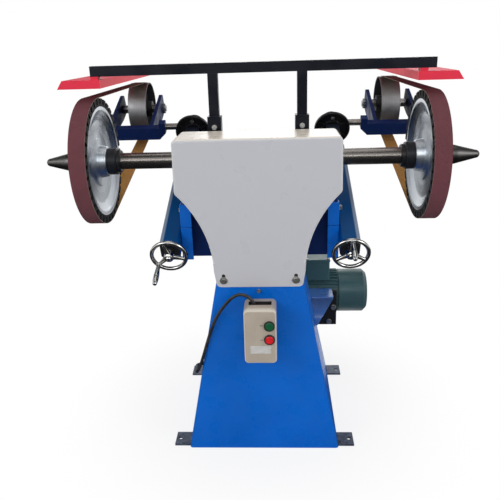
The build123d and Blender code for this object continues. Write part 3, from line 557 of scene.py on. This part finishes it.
grit = finish("grit", (0.125, 0.04, 0.046), 0.85, sheen=0.2)
fleck = grain(grit, 900.0, 2.0)
mineral = tint(grit, fleck, (0.07, 0.020, 0.026), (0.188, 0.064, 0.078))
dulled = ramp(grit, grain(grit, 26.0, 4.0), 0.0, 0.35, 0.4, 0.75)
set_shader(grit, Base_Color=over(grit, mineral, (0.085, 0.036, 0.038), dulled))
dent(grit, fleck, 0.0004)


def woven(name, warp, weft, gap):
    """Plain weave that follows the belt, with the slanted line of its lap."""
    material = finish(name, warp, 0.9, sheen=0.2)
    tree = material.node_tree
    along = add(tree, "ShaderNodeUVMap", {"uv_map": "along"}).outputs["UV"]
    weave = add(tree, "ShaderNodeTexBrick", Vector=along, Scale=1.0, Color1=(*warp, 1.0), Color2=(*weft, 1.0),
                Mortar=(*gap, 1.0), Mortar_Size=0.0001, Brick_Width=0.0016, Row_Height=0.0008)
    place = add(tree, "ShaderNodeVectorMath", {"operation": "DOT_PRODUCT"}, Vector=along)
    place.inputs[1].default_value = (1.0, lap_slant, 0.0)
    off_lap = calculated(tree, "ABSOLUTE", calculated(tree, "SUBTRACT", place.outputs["Value"], lap_at))
    lap = ramp(material, off_lap, 0.8, 0.0, lap_half, 2 * lap_half)
    soiled = ramp(material, grain(material, 22.0, 5.0), 0.0, 0.4, 0.45, 0.75)
    worn = over(material, weave.outputs["Color"], [value * 0.6 for value in weft], soiled)
    set_shader(material, Base_Color=over(material, worn, gap, lap))
    dent(material, weave.outputs["Fac"], -0.0002)
    return material


cloth = woven("cloth", (0.56, 0.29, 0.085), (0.45, 0.22, 0.06), (0.28, 0.13, 0.035))
cloth_edge = woven("cloth_edge", (0.62, 0.52, 0.40), (0.52, 0.42, 0.31), (0.36, 0.28, 0.2))


def belt_points(start, end, steps, wheel, idler):
    """Centres of the belt's inner face, from one place round the loop to another. Places 0 to 1 are the
    wheel's arc from top to bottom, then come the lower run, the idler's arc and the top run."""
    span = (idler - wheel).length
    ahead = (idler - wheel) / span
    upward = Vector((0.0, -ahead.z, ahead.y))
    lean = math.acos((wheel_touch - idler_touch) / span)

    def out(angle):
        return ahead * math.cos(angle) + upward * math.sin(angle)

    points = []
    for step in range(steps + 1):
        stage, share = divmod(start + (end - start) * step / steps, 1.0)
        if stage % 4 == 0:
            points.append(wheel + out(lean + share * 2 * (math.pi - lean)) * wheel_touch)
        elif stage % 4 == 2:
            points.append(idler + out(-lean + share * 2 * lean) * idler_touch)
        else:
            turn = -lean if stage % 4 == 1 else lean
            ends = [wheel + out(turn) * wheel_touch, idler + out(turn) * idler_touch]
            if stage % 4 == 3:
                ends.reverse()
            points.append(ends[0].lerp(ends[1], share))
    return points


def belt_length(name, points, side_x, inside):
    """A flat strip laid round those points and thickened: grit outside, cloth inside and at its edges."""
    steps = len(points) - 1
    travelled = [0.0]
    for before, here in zip(points, points[1:]):
        travelled.append(travelled[-1] + (here - before).length)
    bpy.ops.object.select_all(action="DESELECT")
    bpy.ops.mesh.primitive_grid_add(x_subdivisions=2, y_subdivisions=steps, size=1.0)
    piece = bpy.context.object
    piece.name = name
    mesh = piece.data
    while mesh.uv_layers:
        mesh.uv_layers.remove(mesh.uv_layers[0])
    run = mesh.uv_layers.new(name="along")
    row_of = [round((corner.co.y + 0.5) * steps) for corner in mesh.vertices]
    across = [corner.co.x * belt_width for corner in mesh.vertices]
    for loop in mesh.loops:
        run.data[loop.index].uv = (travelled[row_of[loop.vertex_index]], across[loop.vertex_index])
    for corner, row, x in zip(mesh.vertices, row_of, across):
        corner.co = points[row] + Vector((side_x + x, 0.0, 0.0))
    mesh.update()
    select_only(piece)
    if mesh.polygons[0].normal.dot(mesh.polygons[0].center - inside) < 0:
        bpy.ops.object.mode_set(mode="EDIT")
        bpy.ops.mesh.select_all(action="SELECT")
        bpy.ops.mesh.flip_normals()
        bpy.ops.object.mode_set(mode="OBJECT")
    modify(piece, "SOLIDIFY", thickness=belt_thick, offset=1.0)
    for material in (grit, cloth, cloth_edge):
        piece.data.materials.append(material)
    for face in piece.data.polygons:
        if abs(face.normal.x) > edge_facing:
            face.material_index = 2
        else:
            face.material_index = 0 if face.normal.dot(face.center - inside) > 0 else 1
    bpy.ops.object.shade_smooth_by_angle(angle=math.radians(30))
    return piece


for side in ("left", "right"):
    wheel = Vector((0.0, wheel_y, wheel_z))
    idler = Vector(joint_named(f"idler_{side}_spin")["pos_m"])
    side_x = idler.x
    idler.x = 0.0
    middle = Vector((side_x, 0.0, 0.0))
    inside = middle + (wheel + idler) / 2
    reach = 1 - wrap_reach / (idler - wheel).length
    runs_line = belt_points(-reach, 1 + reach, runs_rows, wheel, idler)
    wrap_line = belt_points(1 + reach, 4 - reach, wrap_rows, wheel, idler)
    belt_runs = belt_length(f"belt_runs_{side}", runs_line, side_x, inside)
    belt_wrap = belt_length(f"belt_wrap_{side}", wrap_line, side_x, inside)
    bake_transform(belt_runs)
    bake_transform(belt_wrap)
    for piece in (belt_runs, belt_wrap):
        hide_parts(f"abrasive_belt_{side}")

# Drive: two moulded rubber vee belts run from the motor's turned iron pulley up to the one keyed on the
# spindle, behind the pedestal.
grey_iron = turned_steel("grey_iron", (0.12, 0.12, 0.125), (0.3, 0.3, 0.31), 0.42)
belt_rubber = finish("belt_rubber", (0.02, 0.02, 0.021), 0.7)
set_shader(belt_rubber, Base_Color=tint(belt_rubber, grain(belt_rubber, 90.0, 5.0), (0.01, 0.01, 0.011),
                                        (0.045, 0.044, 0.043)))
dent(belt_rubber, grain(belt_rubber, 700.0, 2.0), 0.0002)
dressed("spindle_pulley", grey_iron, 0.0006)
dressed("motor_pulley", grey_iron, 0.0006)
dressed("drive_belts", belt_rubber, 0.001)

# Arms: a square tube welded to each side of the head, in a darker copy of the blue that is painted shade and with
# a painted highlight, a pale band, along its outer edges, with a dark bar that slides in it. The bar carries a
# black cast tracking head, ribbed in front, and a cross shaft from that carries the idler's yoke and its turned
# drum.


def lay_over(material, colour, share):
    """A further colour over all that the finish has so far."""
    below = material.node_tree.nodes["Principled BSDF"].inputs["Base Color"].links[0].from_socket
    set_shader(material, Base_Color=over(material, below, colour, share))


shaded_arm_enamel = enamel("shaded_arm_enamel", (0.0, 0.052, 0.175), (0.08, 0.20, 0.42), 0.35, dulled=0.1, sheen=0.08)
# Painted highlight: a pale band laid over the sleeves' outer edges, by how far out from the middle they stand.
highlight_band_from = 0.2865
highlight_band_to = 0.290
sideways = placed_along(shaded_arm_enamel.node_tree, "X")
for outward in (-1, 1):
    lay_over(shaded_arm_enamel, (0.20, 0.255, 0.345),
             ramp(shaded_arm_enamel, sideways, 0.0, 1.0, outward * highlight_band_from, outward * highlight_band_to))
navy_enamel = enamel("navy_enamel", (0.001, 0.012, 0.072), (0.03, 0.06, 0.13), 0.45, 0.16, sheen=0.15)
slide_enamel = enamel("slide_enamel", (0.008, 0.011, 0.022), (0.08, 0.09, 0.10), 0.36, 0.2)
cast_black = enamel("cast_black", (0.006, 0.006, 0.007), (0.16, 0.16, 0.165), 0.34, 0.25, 0.00012, sheen=0.2)
painted_shade_black = finish("painted_shade_black", (0.008, 0.009, 0.012), 0.6)
dent(painted_shade_black, grain(painted_shade_black, 200.0, 4.0), 0.0002)
drum_steel = finish("drum_steel", (0.22, 0.215, 0.21), 0.36, metallic=1.0)
drum_lines = turned_lines(drum_steel, 700.0, 5.0)
set_shader(drum_steel, Base_Color=tint(drum_steel, drum_lines, (0.19, 0.19, 0.195), (0.34, 0.345, 0.355)))
set_shader(drum_steel, Roughness=ramp(drum_steel, grain(drum_steel, 30.0, 5.0), 0.42, 0.58, 0.3, 0.7))
dent(drum_steel, drum_lines, 0.00004)
drum_rim = 0.1045
drum_inside = enamel("drum_inside", (0.02, 0.02, 0.021), (0.14, 0.14, 0.14), 0.5, 0.3, sheen=0.2)
sleeve_start = 0.0255
end_facing = -0.9
inner_facing = 0.3
outer_facing = -0.95
recess_floor = 0.7222
rib_count = 6
rib_front = 0.7172
rib_root = 0.7232
rib_inner = 0.034
rib_outer = 0.0592
rib_thick = 0.006
rib_edge = 0.0012
first_rib = math.radians(30)
bolt_radius = 0.0075
bolt_height = 0.006
bolt_reach = 0.0465


def arm_place(side):
    """Carries a piece from the arm's own frame, x to the right, y below the arm and z up it, to its place."""
    joint = joint_named(f"handwheel_{side}_turn")
    up_arm = Vector(joint["axis"]).normalized()
    right = Vector((1.0, 0.0, 0.0))
    return Matrix.Translation(joint["pos_m"]) @ Matrix((right, up_arm.cross(right), up_arm)).transposed().to_4x4()


def bar(name, low, high, edge, rows=3):
    """A bar between two corners with rounded edges."""
    bpy.ops.object.select_all(action="DESELECT")
    bpy.ops.mesh.primitive_cube_add(size=1.0)
    piece = bpy.context.object
    piece.name = name
    piece.location = (Vector(low) + Vector(high)) / 2
    piece.scale = Vector(high) - Vector(low)
    bpy.ops.object.transform_apply(location=True, rotation=True, scale=True)
    ease(piece, edge, rows=rows)
    return piece


crown_share = 0.14
socket_share = 0.32
worn_share = 0.06


def screw(name, radius, height, sides=6, socket=0.0):
    """A screw head on z = 0, crowned, and with a socket sunk in it if that is given."""
    bpy.ops.object.select_all(action="DESELECT")
    bpy.ops.mesh.primitive_cylinder_add(vertices=sides, radius=radius, depth=height, location=(0, 0, height / 2))
    piece = bpy.context.object
    piece.name = name
    bpy.ops.object.transform_apply(location=True, rotation=True, scale=True)
    for face in piece.data.polygons:
        face.select = face.normal.z > 0.9
    bpy.ops.object.mode_set(mode="EDIT")
    bpy.ops.mesh.select_mode(type="FACE")
    bpy.ops.mesh.inset(thickness=radius * crown_share, depth=height * crown_share)
    if socket:
        bpy.ops.mesh.inset(thickness=radius * socket_share)
        bpy.ops.mesh.extrude_region_move(TRANSFORM_OT_translate={"value": (0.0, 0.0, -socket)})
    bpy.ops.object.mode_set(mode="OBJECT")
    ease(piece, radius * worn_share, rows=1)
    return piece


def placed(piece, place):
    piece.data.transform(place)
    return piece


scale_radius = 0.0045
scale_squash = 0.8
scale_pitch = 0.0042
weld_inset = 0.0299
weld_drop = 0.0275
lower_weld = (0.343, 0.117)
upper_weld = (0.1395, 0.363)


def weld(name, start, end):
    """A row of overlapping scales from one point to another."""
    line = Vector(end) - Vector(start)
    bpy.ops.object.select_all(action="DESELECT")
    bpy.ops.mesh.primitive_uv_sphere_add(segments=8, ring_count=5, radius=scale_radius)
    piece = bpy.context.object
    piece.name = name
    bpy.ops.object.mode_set(mode="EDIT")
    bpy.ops.mesh.select_all(action="SELECT")
    bpy.ops.transform.resize(value=(1.0, 1.0, scale_squash))
    bpy.ops.object.mode_set(mode="OBJECT")
    piece.data.transform(Matrix.Translation(start) @ line.to_track_quat("Z", "Y").to_matrix().to_4x4())
    step = line / round(line.length / scale_pitch)
    modify(piece, "ARRAY", count=round(line.length / scale_pitch) + 1, use_relative_offset=False,
           use_constant_offset=True, constant_offset_displace=step)
    select_only(piece)
    bpy.ops.object.shade_smooth()
    return piece


for side, inward in (("left", 1), ("right", -1)):
    place = arm_place(side)
    up_arm = place.to_3x3() @ Vector((0.0, 0.0, 1.0))
    sleeve = dressed(f"arm_sleeve_{side}", shaded_arm_enamel, 0.0012)
    sleeve.data.materials.append(painted_shade_black)
    sleeve.data.materials.append(shaded_head_enamel)
    # Painted shade: the sleeve's front end plate is painted black for the shade behind the handwheel; its side
    # faces take the glossier head blue.
    for face in sleeve.data.polygons:
        if face.normal.dot(up_arm) < end_facing and (place.inverted() @ face.center).z < sleeve_start:
            face.material_index = 1
        elif inward * face.normal.x > inner_facing or inward * face.normal.x < outer_facing:
            face.material_index = 2
    x = inward * weld_inset
    corners = [Vector((x, weld_drop, z)) for z in lower_weld] + [Vector((x, -weld_drop, z)) for z in upper_weld]
    beads = [weld("bead", start, end) for start, end in zip(corners, corners[1:])]
    bead = placed(joined(f"arm_weld_{side}", beads), place)
    added(bead, "frame", shaded_arm_enamel)
    dressed(f"tension_slide_{side}", slide_enamel, 0.0012)
    dressed(f"tracking_head_{side}", cast_black, 0.002)
    ribs = []
    for count in range(rib_count):
        rib = bar("rib", (rib_inner, -rib_thick / 2, rib_front), (rib_outer, rib_thick / 2, rib_root), rib_edge)
        ribs.append(placed(rib, Matrix.Rotation(first_rib + count * 2 * math.pi / rib_count, 4, "Z")))
    added(placed(joined(f"tracking_ribs_{side}", ribs), place), f"tracking_{side}",
          cast_black)
    head_bolt = screw(f"tracking_bolt_{side}", bolt_radius, bolt_height)
    placed(head_bolt, Matrix.Translation((0.0, -bolt_reach, recess_floor)) @ Matrix.Rotation(math.pi, 4, "X"))
    added(placed(head_bolt, place), f"tracking_{side}", bright_steel)
    dressed(f"idler_yoke_{side}", navy_enamel, 0.0)
    dressed(f"yoke_shaft_{side}", spindle_steel, 0.0)
    drum = dressed(f"idler_drum_{side}", drum_steel, 0.0008)
    drum.data.materials.append(drum_inside)
    axis = Vector(joint_named(f"idler_{side}_spin")["pos_m"])
    for face in drum.data.polygons:
        from_axis = face.center - axis
        from_axis.x = 0.0
        face.material_index = 0 if from_axis.length > drum_rim else 1
    dressed(f"idler_axle_{side}", bright_steel, 0.0006)
    frame["nodes"][f"tension_screw_{side}"].data.materials[0] = bright_steel

# Handwheels: chromed castings with a round rim, three tapered spokes and a domed hub nut. A slim chromed
# handle turns on a pin screwed into the rim.
chrome = finish("chrome", (0.42, 0.42, 0.41), 0.16, metallic=1.0)
set_shader(chrome, Roughness=ramp(chrome, grain(chrome, 45.0, 5.0), 0.12, 0.24, 0.4, 0.75))
dent(chrome, grain(chrome, 60.0, 3.0), 0.00002)
rim_radius = 0.0515
rim_thick = 0.006
rim_depth = 1.08
hub_radius = 0.015
hub_front = -0.014
hub_back = 0.022
hub_profile = [
    (0.0, hub_front - 0.006), (0.004, hub_front - 0.0055), (0.008, hub_front - 0.002), (0.0085, hub_front),
    (hub_radius - 0.003, hub_front), (hub_radius, hub_front + 0.003), (hub_radius, hub_back - 0.002),
    (hub_radius - 0.002, hub_back), (0.0, hub_back)]
spoke_root = 0.0076
spoke_tip = 0.0054
spoke_profile = [
    (0.0, 0.008), (spoke_root + 0.002, 0.008), (spoke_root + 0.0015, hub_radius), (spoke_root, 0.019),
    (spoke_tip + 0.0002, 0.038), (spoke_tip, 0.042), (spoke_tip + 0.0008, rim_radius - 0.005),
    (0.0, rim_radius - 0.003)]
handle_length = 0.072
handle_start = 0.009
pin_radius = 0.004
pin_end = handle_start + handle_length
pin_profile = [
    (0.0, -pin_end - 0.0033), (0.0045, -pin_end - 0.003), (0.006, -pin_end - 0.0012), (0.006, -pin_end - 0.0003),
    (pin_radius, -pin_end - 0.0003), (pin_radius, 0.0), (0.0, 0.0)]
grip_profile = [
    (0.0042, -handle_start), (0.0055, -handle_start), (0.0062, -handle_start - 0.001),
    (0.0066, -handle_start - 0.012), (0.0082, -handle_start - 0.034), (0.0085, -handle_start - 0.046),
    (0.0079, -handle_start - 0.06), (0.0066, -handle_start - 0.07), (0.0055, -handle_start - 0.0718),
    (0.0042, -handle_start - 0.0718), (0.0042, -handle_start)]


smooth_below = math.radians(40)


def turned(name, profile, steps=40):
    """A piece turned about z from (radius, z) points."""
    piece = drawn(name, [(radius, 0.0, z) for radius, z in profile])
    bpy.ops.mesh.spin(steps=steps, angle=2 * math.pi, center=(0, 0, 0), axis=(0, 0, 1))
    bpy.ops.mesh.select_all(action="SELECT")
    bpy.ops.mesh.remove_doubles(threshold=same_spot)
    bpy.ops.mesh.normals_make_consistent(inside=False)
    bpy.ops.object.mode_set(mode="OBJECT")
    bpy.ops.object.shade_smooth_by_angle(angle=smooth_below)
    return piece


for side, handle_angle in (("left", math.radians(135)), ("right", math.radians(270))):
    bpy.ops.object.select_all(action="DESELECT")
    bpy.ops.mesh.primitive_torus_add(major_radius=rim_radius, minor_radius=rim_thick, major_segments=80,
                                     minor_segments=20)
    bpy.ops.object.mode_set(mode="EDIT")
    bpy.ops.mesh.select_all(action="SELECT")
    bpy.ops.transform.resize(value=(1.0, 1.0, rim_depth))
    bpy.ops.object.mode_set(mode="OBJECT")
    shapes = [bpy.context.object, turned("hub", hub_profile)]
    for third in range(3):
        spoke = turned("spoke", spoke_profile, steps=20)
        spoke.data.transform(Matrix.Rotation(math.radians(90), 4, "Y"))
        spoke.data.transform(Matrix.Rotation(handle_angle + third * math.radians(120), 4, "Z"))
        shapes.append(spoke)
    at_rim = Matrix.Rotation(handle_angle, 4, "Z") @ Matrix.Translation((rim_radius, 0.0, 0.0))
    shapes.append(placed(turned("pin", pin_profile), at_rim))
    wheel = placed(joined(f"handwheel_{side}_chromed", shapes), arm_place(side))
    select_only(wheel)
    bpy.ops.object.shade_smooth_by_angle(angle=smooth_below)
    carry(wheel, f"handwheel_{side}", chrome)
    grip = turned(f"crank_handle_{side}_chromed", grip_profile)
    carry(placed(grip, arm_place(side) @ at_rim), f"crank_handle_{side}", chrome)

# Front cover: one sheet, pressed with a deep flange round the top and a shallow lip below, sprayed glossy
# grey-white. It hangs on two bolts through slots near its foot.


def facing(material, axis, low, high):
    """Nought to one as the surface turns towards that side, X, Y or Z."""
    tree = material.node_tree
    normal = add(tree, "ShaderNodeNewGeometry").outputs["Normal"]
    turn = add(tree, "ShaderNodeSeparateXYZ", Vector=normal).outputs[axis]
    return ramp(material, turn, 0.0, 1.0, low, high)


cover_white = enamel("cover_white", (0.495, 0.50, 0.532), (0.62, 0.62, 0.61), 0.28, 0.006, 0.00002, dulled=0.02)
# Painted light: the faces that look to the front are laid over with a paler grey than the sides; the faces that
# look up are laid over with a warm cream.
lay_over(cover_white, (0.70, 0.70, 0.70), facing(cover_white, "Y", -0.97, -0.6))
lay_over(cover_white, (0.66, 0.60, 0.52), facing(cover_white, "Z", 0.5, 0.95))
dressed("front_cover", cover_white, 0.0)

# Guard frame: two posts of square tube that stand in sockets on the head and a bar welded across them, sprayed
# nearly black, with a red tray of folded sheet bolted over each belt.
frame_enamel = enamel("frame_enamel", (0.004, 0.0055, 0.011), (0.04, 0.045, 0.06), 0.38, 0.2, sheen=0.2)
guard_red = enamel("guard_red", (0.70, 0.035, 0.068), (0.72, 0.05, 0.08), 0.5, 0.08, 0.00001, dulled=0.06,
                   sheen=0.12)
# Painted light: the faces that look left or right are laid over with a brighter red.
for lit_side_from, lit_side_to in ((0.25, 0.6), (-0.25, -0.6)):
    lay_over(guard_red, (0.98, 0.10, 0.13), facing(guard_red, "X", lit_side_from, lit_side_to))
dressed("guard_posts", frame_enamel, 0.0003)
dressed("guard_crossbar", frame_enamel, 0.0003)
for side in ("left", "right"):
    dressed(f"belt_guard_{side}", guard_red, 0.0)

# Motor: a finned iron housing with a pressed fan cowl, sprayed dark grey-green, bolted by its feet to a black
# angle plate on the pedestal's bracket. A box on top, with a screwed lid, holds its terminals.
motor_enamel = enamel("motor_enamel", (0.044, 0.108, 0.117), (0.14, 0.21, 0.21), 0.34, 0.14, 0.00008)
plate_black = enamel("plate_black", (0.012, 0.012, 0.013), (0.07, 0.07, 0.072), 0.42, 0.25)
dressed("motor_housing", motor_enamel, 0.0006)
dressed("fan_cowl", motor_enamel, 0.0)
dressed("terminal_box", motor_enamel, 0.001)
dressed("motor_plate", plate_black, 0.001)
frame["nodes"]["motor_rotor"].data.materials[0] = bright_steel
lid_middle = Vector((0.205, 0.259, 0.4885))
lid_half = 0.0485
lid_thick = 0.010
lid_edge = 0.003
lid_screw_in = 0.009
lid_screw_radius = 0.0042
lid_screw_height = 0.003
lid_screw_socket = 0.0016
lid_screw_sunk = 0.0003
lid = bar("terminal_lid", lid_middle - Vector((lid_half, lid_half, lid_thick)),
          lid_middle + Vector((lid_half, lid_half, 0.0)), lid_edge, rows=4)
added(lid, "frame", motor_enamel)
lid_screws = []
for x in (-1, 1):
    for y in (-1, 1):
        lid_screw = screw("lid_screw", lid_screw_radius, lid_screw_height, sides=20, socket=lid_screw_socket)
        corner = Vector((x * (lid_half - lid_screw_in), y * (lid_half - lid_screw_in), -lid_screw_sunk))
        lid_screws.append(placed(lid_screw, Matrix.Translation(lid_middle + corner)))
added(joined("terminal_lid_screws", lid_screws), "frame", bright_steel)

# Switch box: a moulded beige case screwed to the pedestal's front, with a green start and a red stop button in
# black rings, a bare plate, two moulded marks beside the buttons, and two cable glands sunk in its ribbed top.
box_plastic = finish("box_plastic", (0.42, 0.36, 0.295), 0.48)
highlit_rim_front = (-0.3465, -0.3452)
highlit_rim_back = (-0.335, -0.325)
tree = box_plastic.node_tree
depth = placed_along(tree, "Y")
moulded = tint(box_plastic, grain(box_plastic, 12.0, 5.0), (0.38, 0.325, 0.265), (0.45, 0.385, 0.315))
# Painted highlight: a pale band round the front edge of the case, set by how far forward a spot lies.
rounded = calculated(tree, "MULTIPLY", ramp(box_plastic, depth, 0.0, 1.0, *highlit_rim_front),
                     ramp(box_plastic, depth, 1.0, 0.0, *highlit_rim_back))
set_shader(box_plastic, Base_Color=over(box_plastic, moulded, (0.64, 0.59, 0.51), rounded))
dent(box_plastic, grain(box_plastic, 900.0, 2.0), 0.00008)
black_plastic = finish("black_plastic", (0.015, 0.015, 0.016), 0.45)
set_shader(black_plastic, Roughness=ramp(black_plastic, grain(black_plastic, 300.0, 3.0), 0.35, 0.6, 0.3, 0.7))
plate_grey = finish("plate_grey", (0.55, 0.545, 0.53), 0.4)
set_shader(plate_grey, Base_Color=tint(plate_grey, grain(plate_grey, 70.0, 4.0), (0.48, 0.47, 0.455),
                                       (0.6, 0.595, 0.58)))


def cap_plastic(name, colour):
    material = finish(name, colour, 0.3, coat=0.2)
    set_shader(material, Base_Color=tint(material, grain(material, 80.0, 3.0), *shades(colour, 0.12)))
    return material


box_front = -0.347
recess_half = 0.0345
recess_depth = (-0.3065, -0.2795)
recess_height = (0.514, 0.5445)
switch_box = dressed("switch_box", box_plastic, 0.0006)
switch_box.data.materials.append(black_plastic)
for face in switch_box.data.polygons:
    x, y, z = face.center
    if (abs(x) < recess_half and recess_depth[0] < y < recess_depth[1]
            and recess_height[0] < z < recess_height[1]):
        face.material_index = 1
dressed("start_button", cap_plastic("start_green", (0.002, 0.10, 0.035)), 0.0004)
dressed("stop_button", cap_plastic("stop_red", (0.62, 0.004, 0.012)), 0.0004)
dressed("cable_glands", black_plastic, 0.0005)
upright = Matrix.Rotation(math.radians(90), 4, "X")
button_x = 0.027
ring_seat = -0.3508
ring_profile = [(0.0129, 0.0), (0.0129, 0.0012), (0.0136, 0.0018), (0.0155, 0.0018), (0.0162, 0.001),
                (0.0162, -0.003)]
mark_length = 0.009
mark_half = 0.0008
mark_proud = 0.0003
mark_edge = 0.0002
plate_proud = 0.0008
plate_edge = 0.0004
plate_left = -0.030
plate_right = 0.031
plate_foot = 0.4056
plate_top = 0.4316
root_depth = 0.001
marks = []
for name, height, mark_height in (("start", 0.496, 0.497), ("stop", 0.452, 0.450)):
    ring = turned(f"{name}_ring", ring_profile, steps=48)
    added(placed(ring, Matrix.Translation((button_x, ring_seat, height)) @ upright), "frame",
          black_plastic)
    marks.append(bar("mark", (0.0, box_front - mark_proud, mark_height - mark_half),
                     (mark_length, box_front + root_depth, mark_height + mark_half), mark_edge, rows=1))
added(joined("switch_box_marks", marks), "frame", black_plastic)
plate = bar("switch_box_plate", (plate_left, box_front - plate_proud, plate_foot),
            (plate_right, box_front + root_depth, plate_top), plate_edge, rows=2)
added(plate, "frame", plate_grey)
crest_reach = 0.036
crest_half = 0.0012
crest_foot = 0.5440
crest_top = 0.5462
crest_edge = 0.0006
ribs = [bar("top_rib", (-crest_reach, y - crest_half, crest_foot), (crest_reach, y + crest_half, crest_top),
            crest_edge, rows=2) for y in (-0.312, -0.320, -0.328, -0.336)]
added(joined("switch_box_ribs", ribs), "frame", box_plastic)

# Motor lead: a round black cable that leaves the left gland, arches over the box's shoulder, hangs down the
# pedestal's front and goes round its edge into a boot in the side.
lead_radius = 0.005
foot_half = 0.248
top_half = 0.125
pedestal_height = 0.633
boot_height = 0.174
boot_y = -0.008
boot_length = 0.030
boot_approach = 0.044
side_slope = (foot_half - top_half) / pedestal_height
boot_entry = Vector((-(foot_half - side_slope * boot_height), boot_y, boot_height))
boot_direction = Vector((0.30, 0.85, -0.43)).normalized()
lead_end = boot_entry - boot_direction * boot_length
lead_route = [Vector(point) / 1000 for point in (
    (-17, -293, 525), (-17, -293, 542), (-27, -293, 559), (-44, -292, 571), (-65, -289, 572), (-86, -285, 558),
    (-108, -281, 532), (-133, -276, 494), (-151, -272, 452), (-167, -269, 404), (-182, -269, 354),
    (-200, -258, 300), (-216, -215, 262), (-226, -162, 236), (-232, -110, 218))]
lead_route += [lead_end - boot_direction * boot_approach, lead_end]
lead_line = bpy.data.curves.new("motor_lead_cable", "CURVE")
lead_line.dimensions = "3D"
lead_line.bevel_depth = lead_radius
lead_line.bevel_resolution = 6
lead_line.use_fill_caps = True
spline = lead_line.splines.new("NURBS")
spline.points.add(len(lead_route) - 1)
for point, spot in zip(spline.points, lead_route):
    point.co = (*spot, 1.0)
spline.order_u = 3
spline.use_endpoint_u = True
spline.resolution_u = 8
lead = bpy.data.objects.new("motor_lead_cable", lead_line)
bpy.context.scene.collection.objects.link(lead)
sheath = finish("sheath", (0.014, 0.014, 0.015), 0.5)
set_shader(sheath, Base_Color=tint(sheath, grain(sheath, 60.0, 4.0), (0.008, 0.008, 0.009), (0.03, 0.03, 0.03)))
dent(sheath, grain(sheath, 500.0, 2.0), 0.00012)
carry(lead, "motor_lead", sheath)

# Fasteners: zinc-plated hexagon heads on washers. The cover's two bolts have wide washers over their slots,
# and a black pad of painted shade lies behind each slot so that the slot looks dark.
zinc = turned_steel("zinc", (0.34, 0.34, 0.325), (0.56, 0.55, 0.53), 0.4)
dressed("frame_bolts", zinc, 0.0)
bolt_x = 0.108
bolt_z = 0.606
cover_face = -0.2645
washer_profile = [(0.0056, 0.0), (0.0056, 0.0014), (0.0112, 0.0014), (0.0118, 0.0008), (0.0118, 0.0),
                  (0.0056, 0.0)]
pad_half = 0.0053
pad_front = -0.2632
pad_back = -0.2618
pad_foot = 0.5972
pad_top = 0.6256
pad_edge = 0.0004
washers = []
for side, x in (("left", -bolt_x), ("right", bolt_x)):
    washer = turned("washer", washer_profile, steps=32)
    washers.append(placed(washer, Matrix.Translation((x, cover_face, bolt_z)) @ upright))
    # Painted shade: a black pad behind the slot darkens it.
    shade_pad = bar(f"cover_slot_shade_pad_{side}", (x - pad_half, pad_front, pad_foot), (x + pad_half, pad_back, pad_top),
              pad_edge, rows=1)
    added(shade_pad, "frame", black_plastic)
added(joined("cover_washers", washers), "frame", zinc)

low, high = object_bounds()
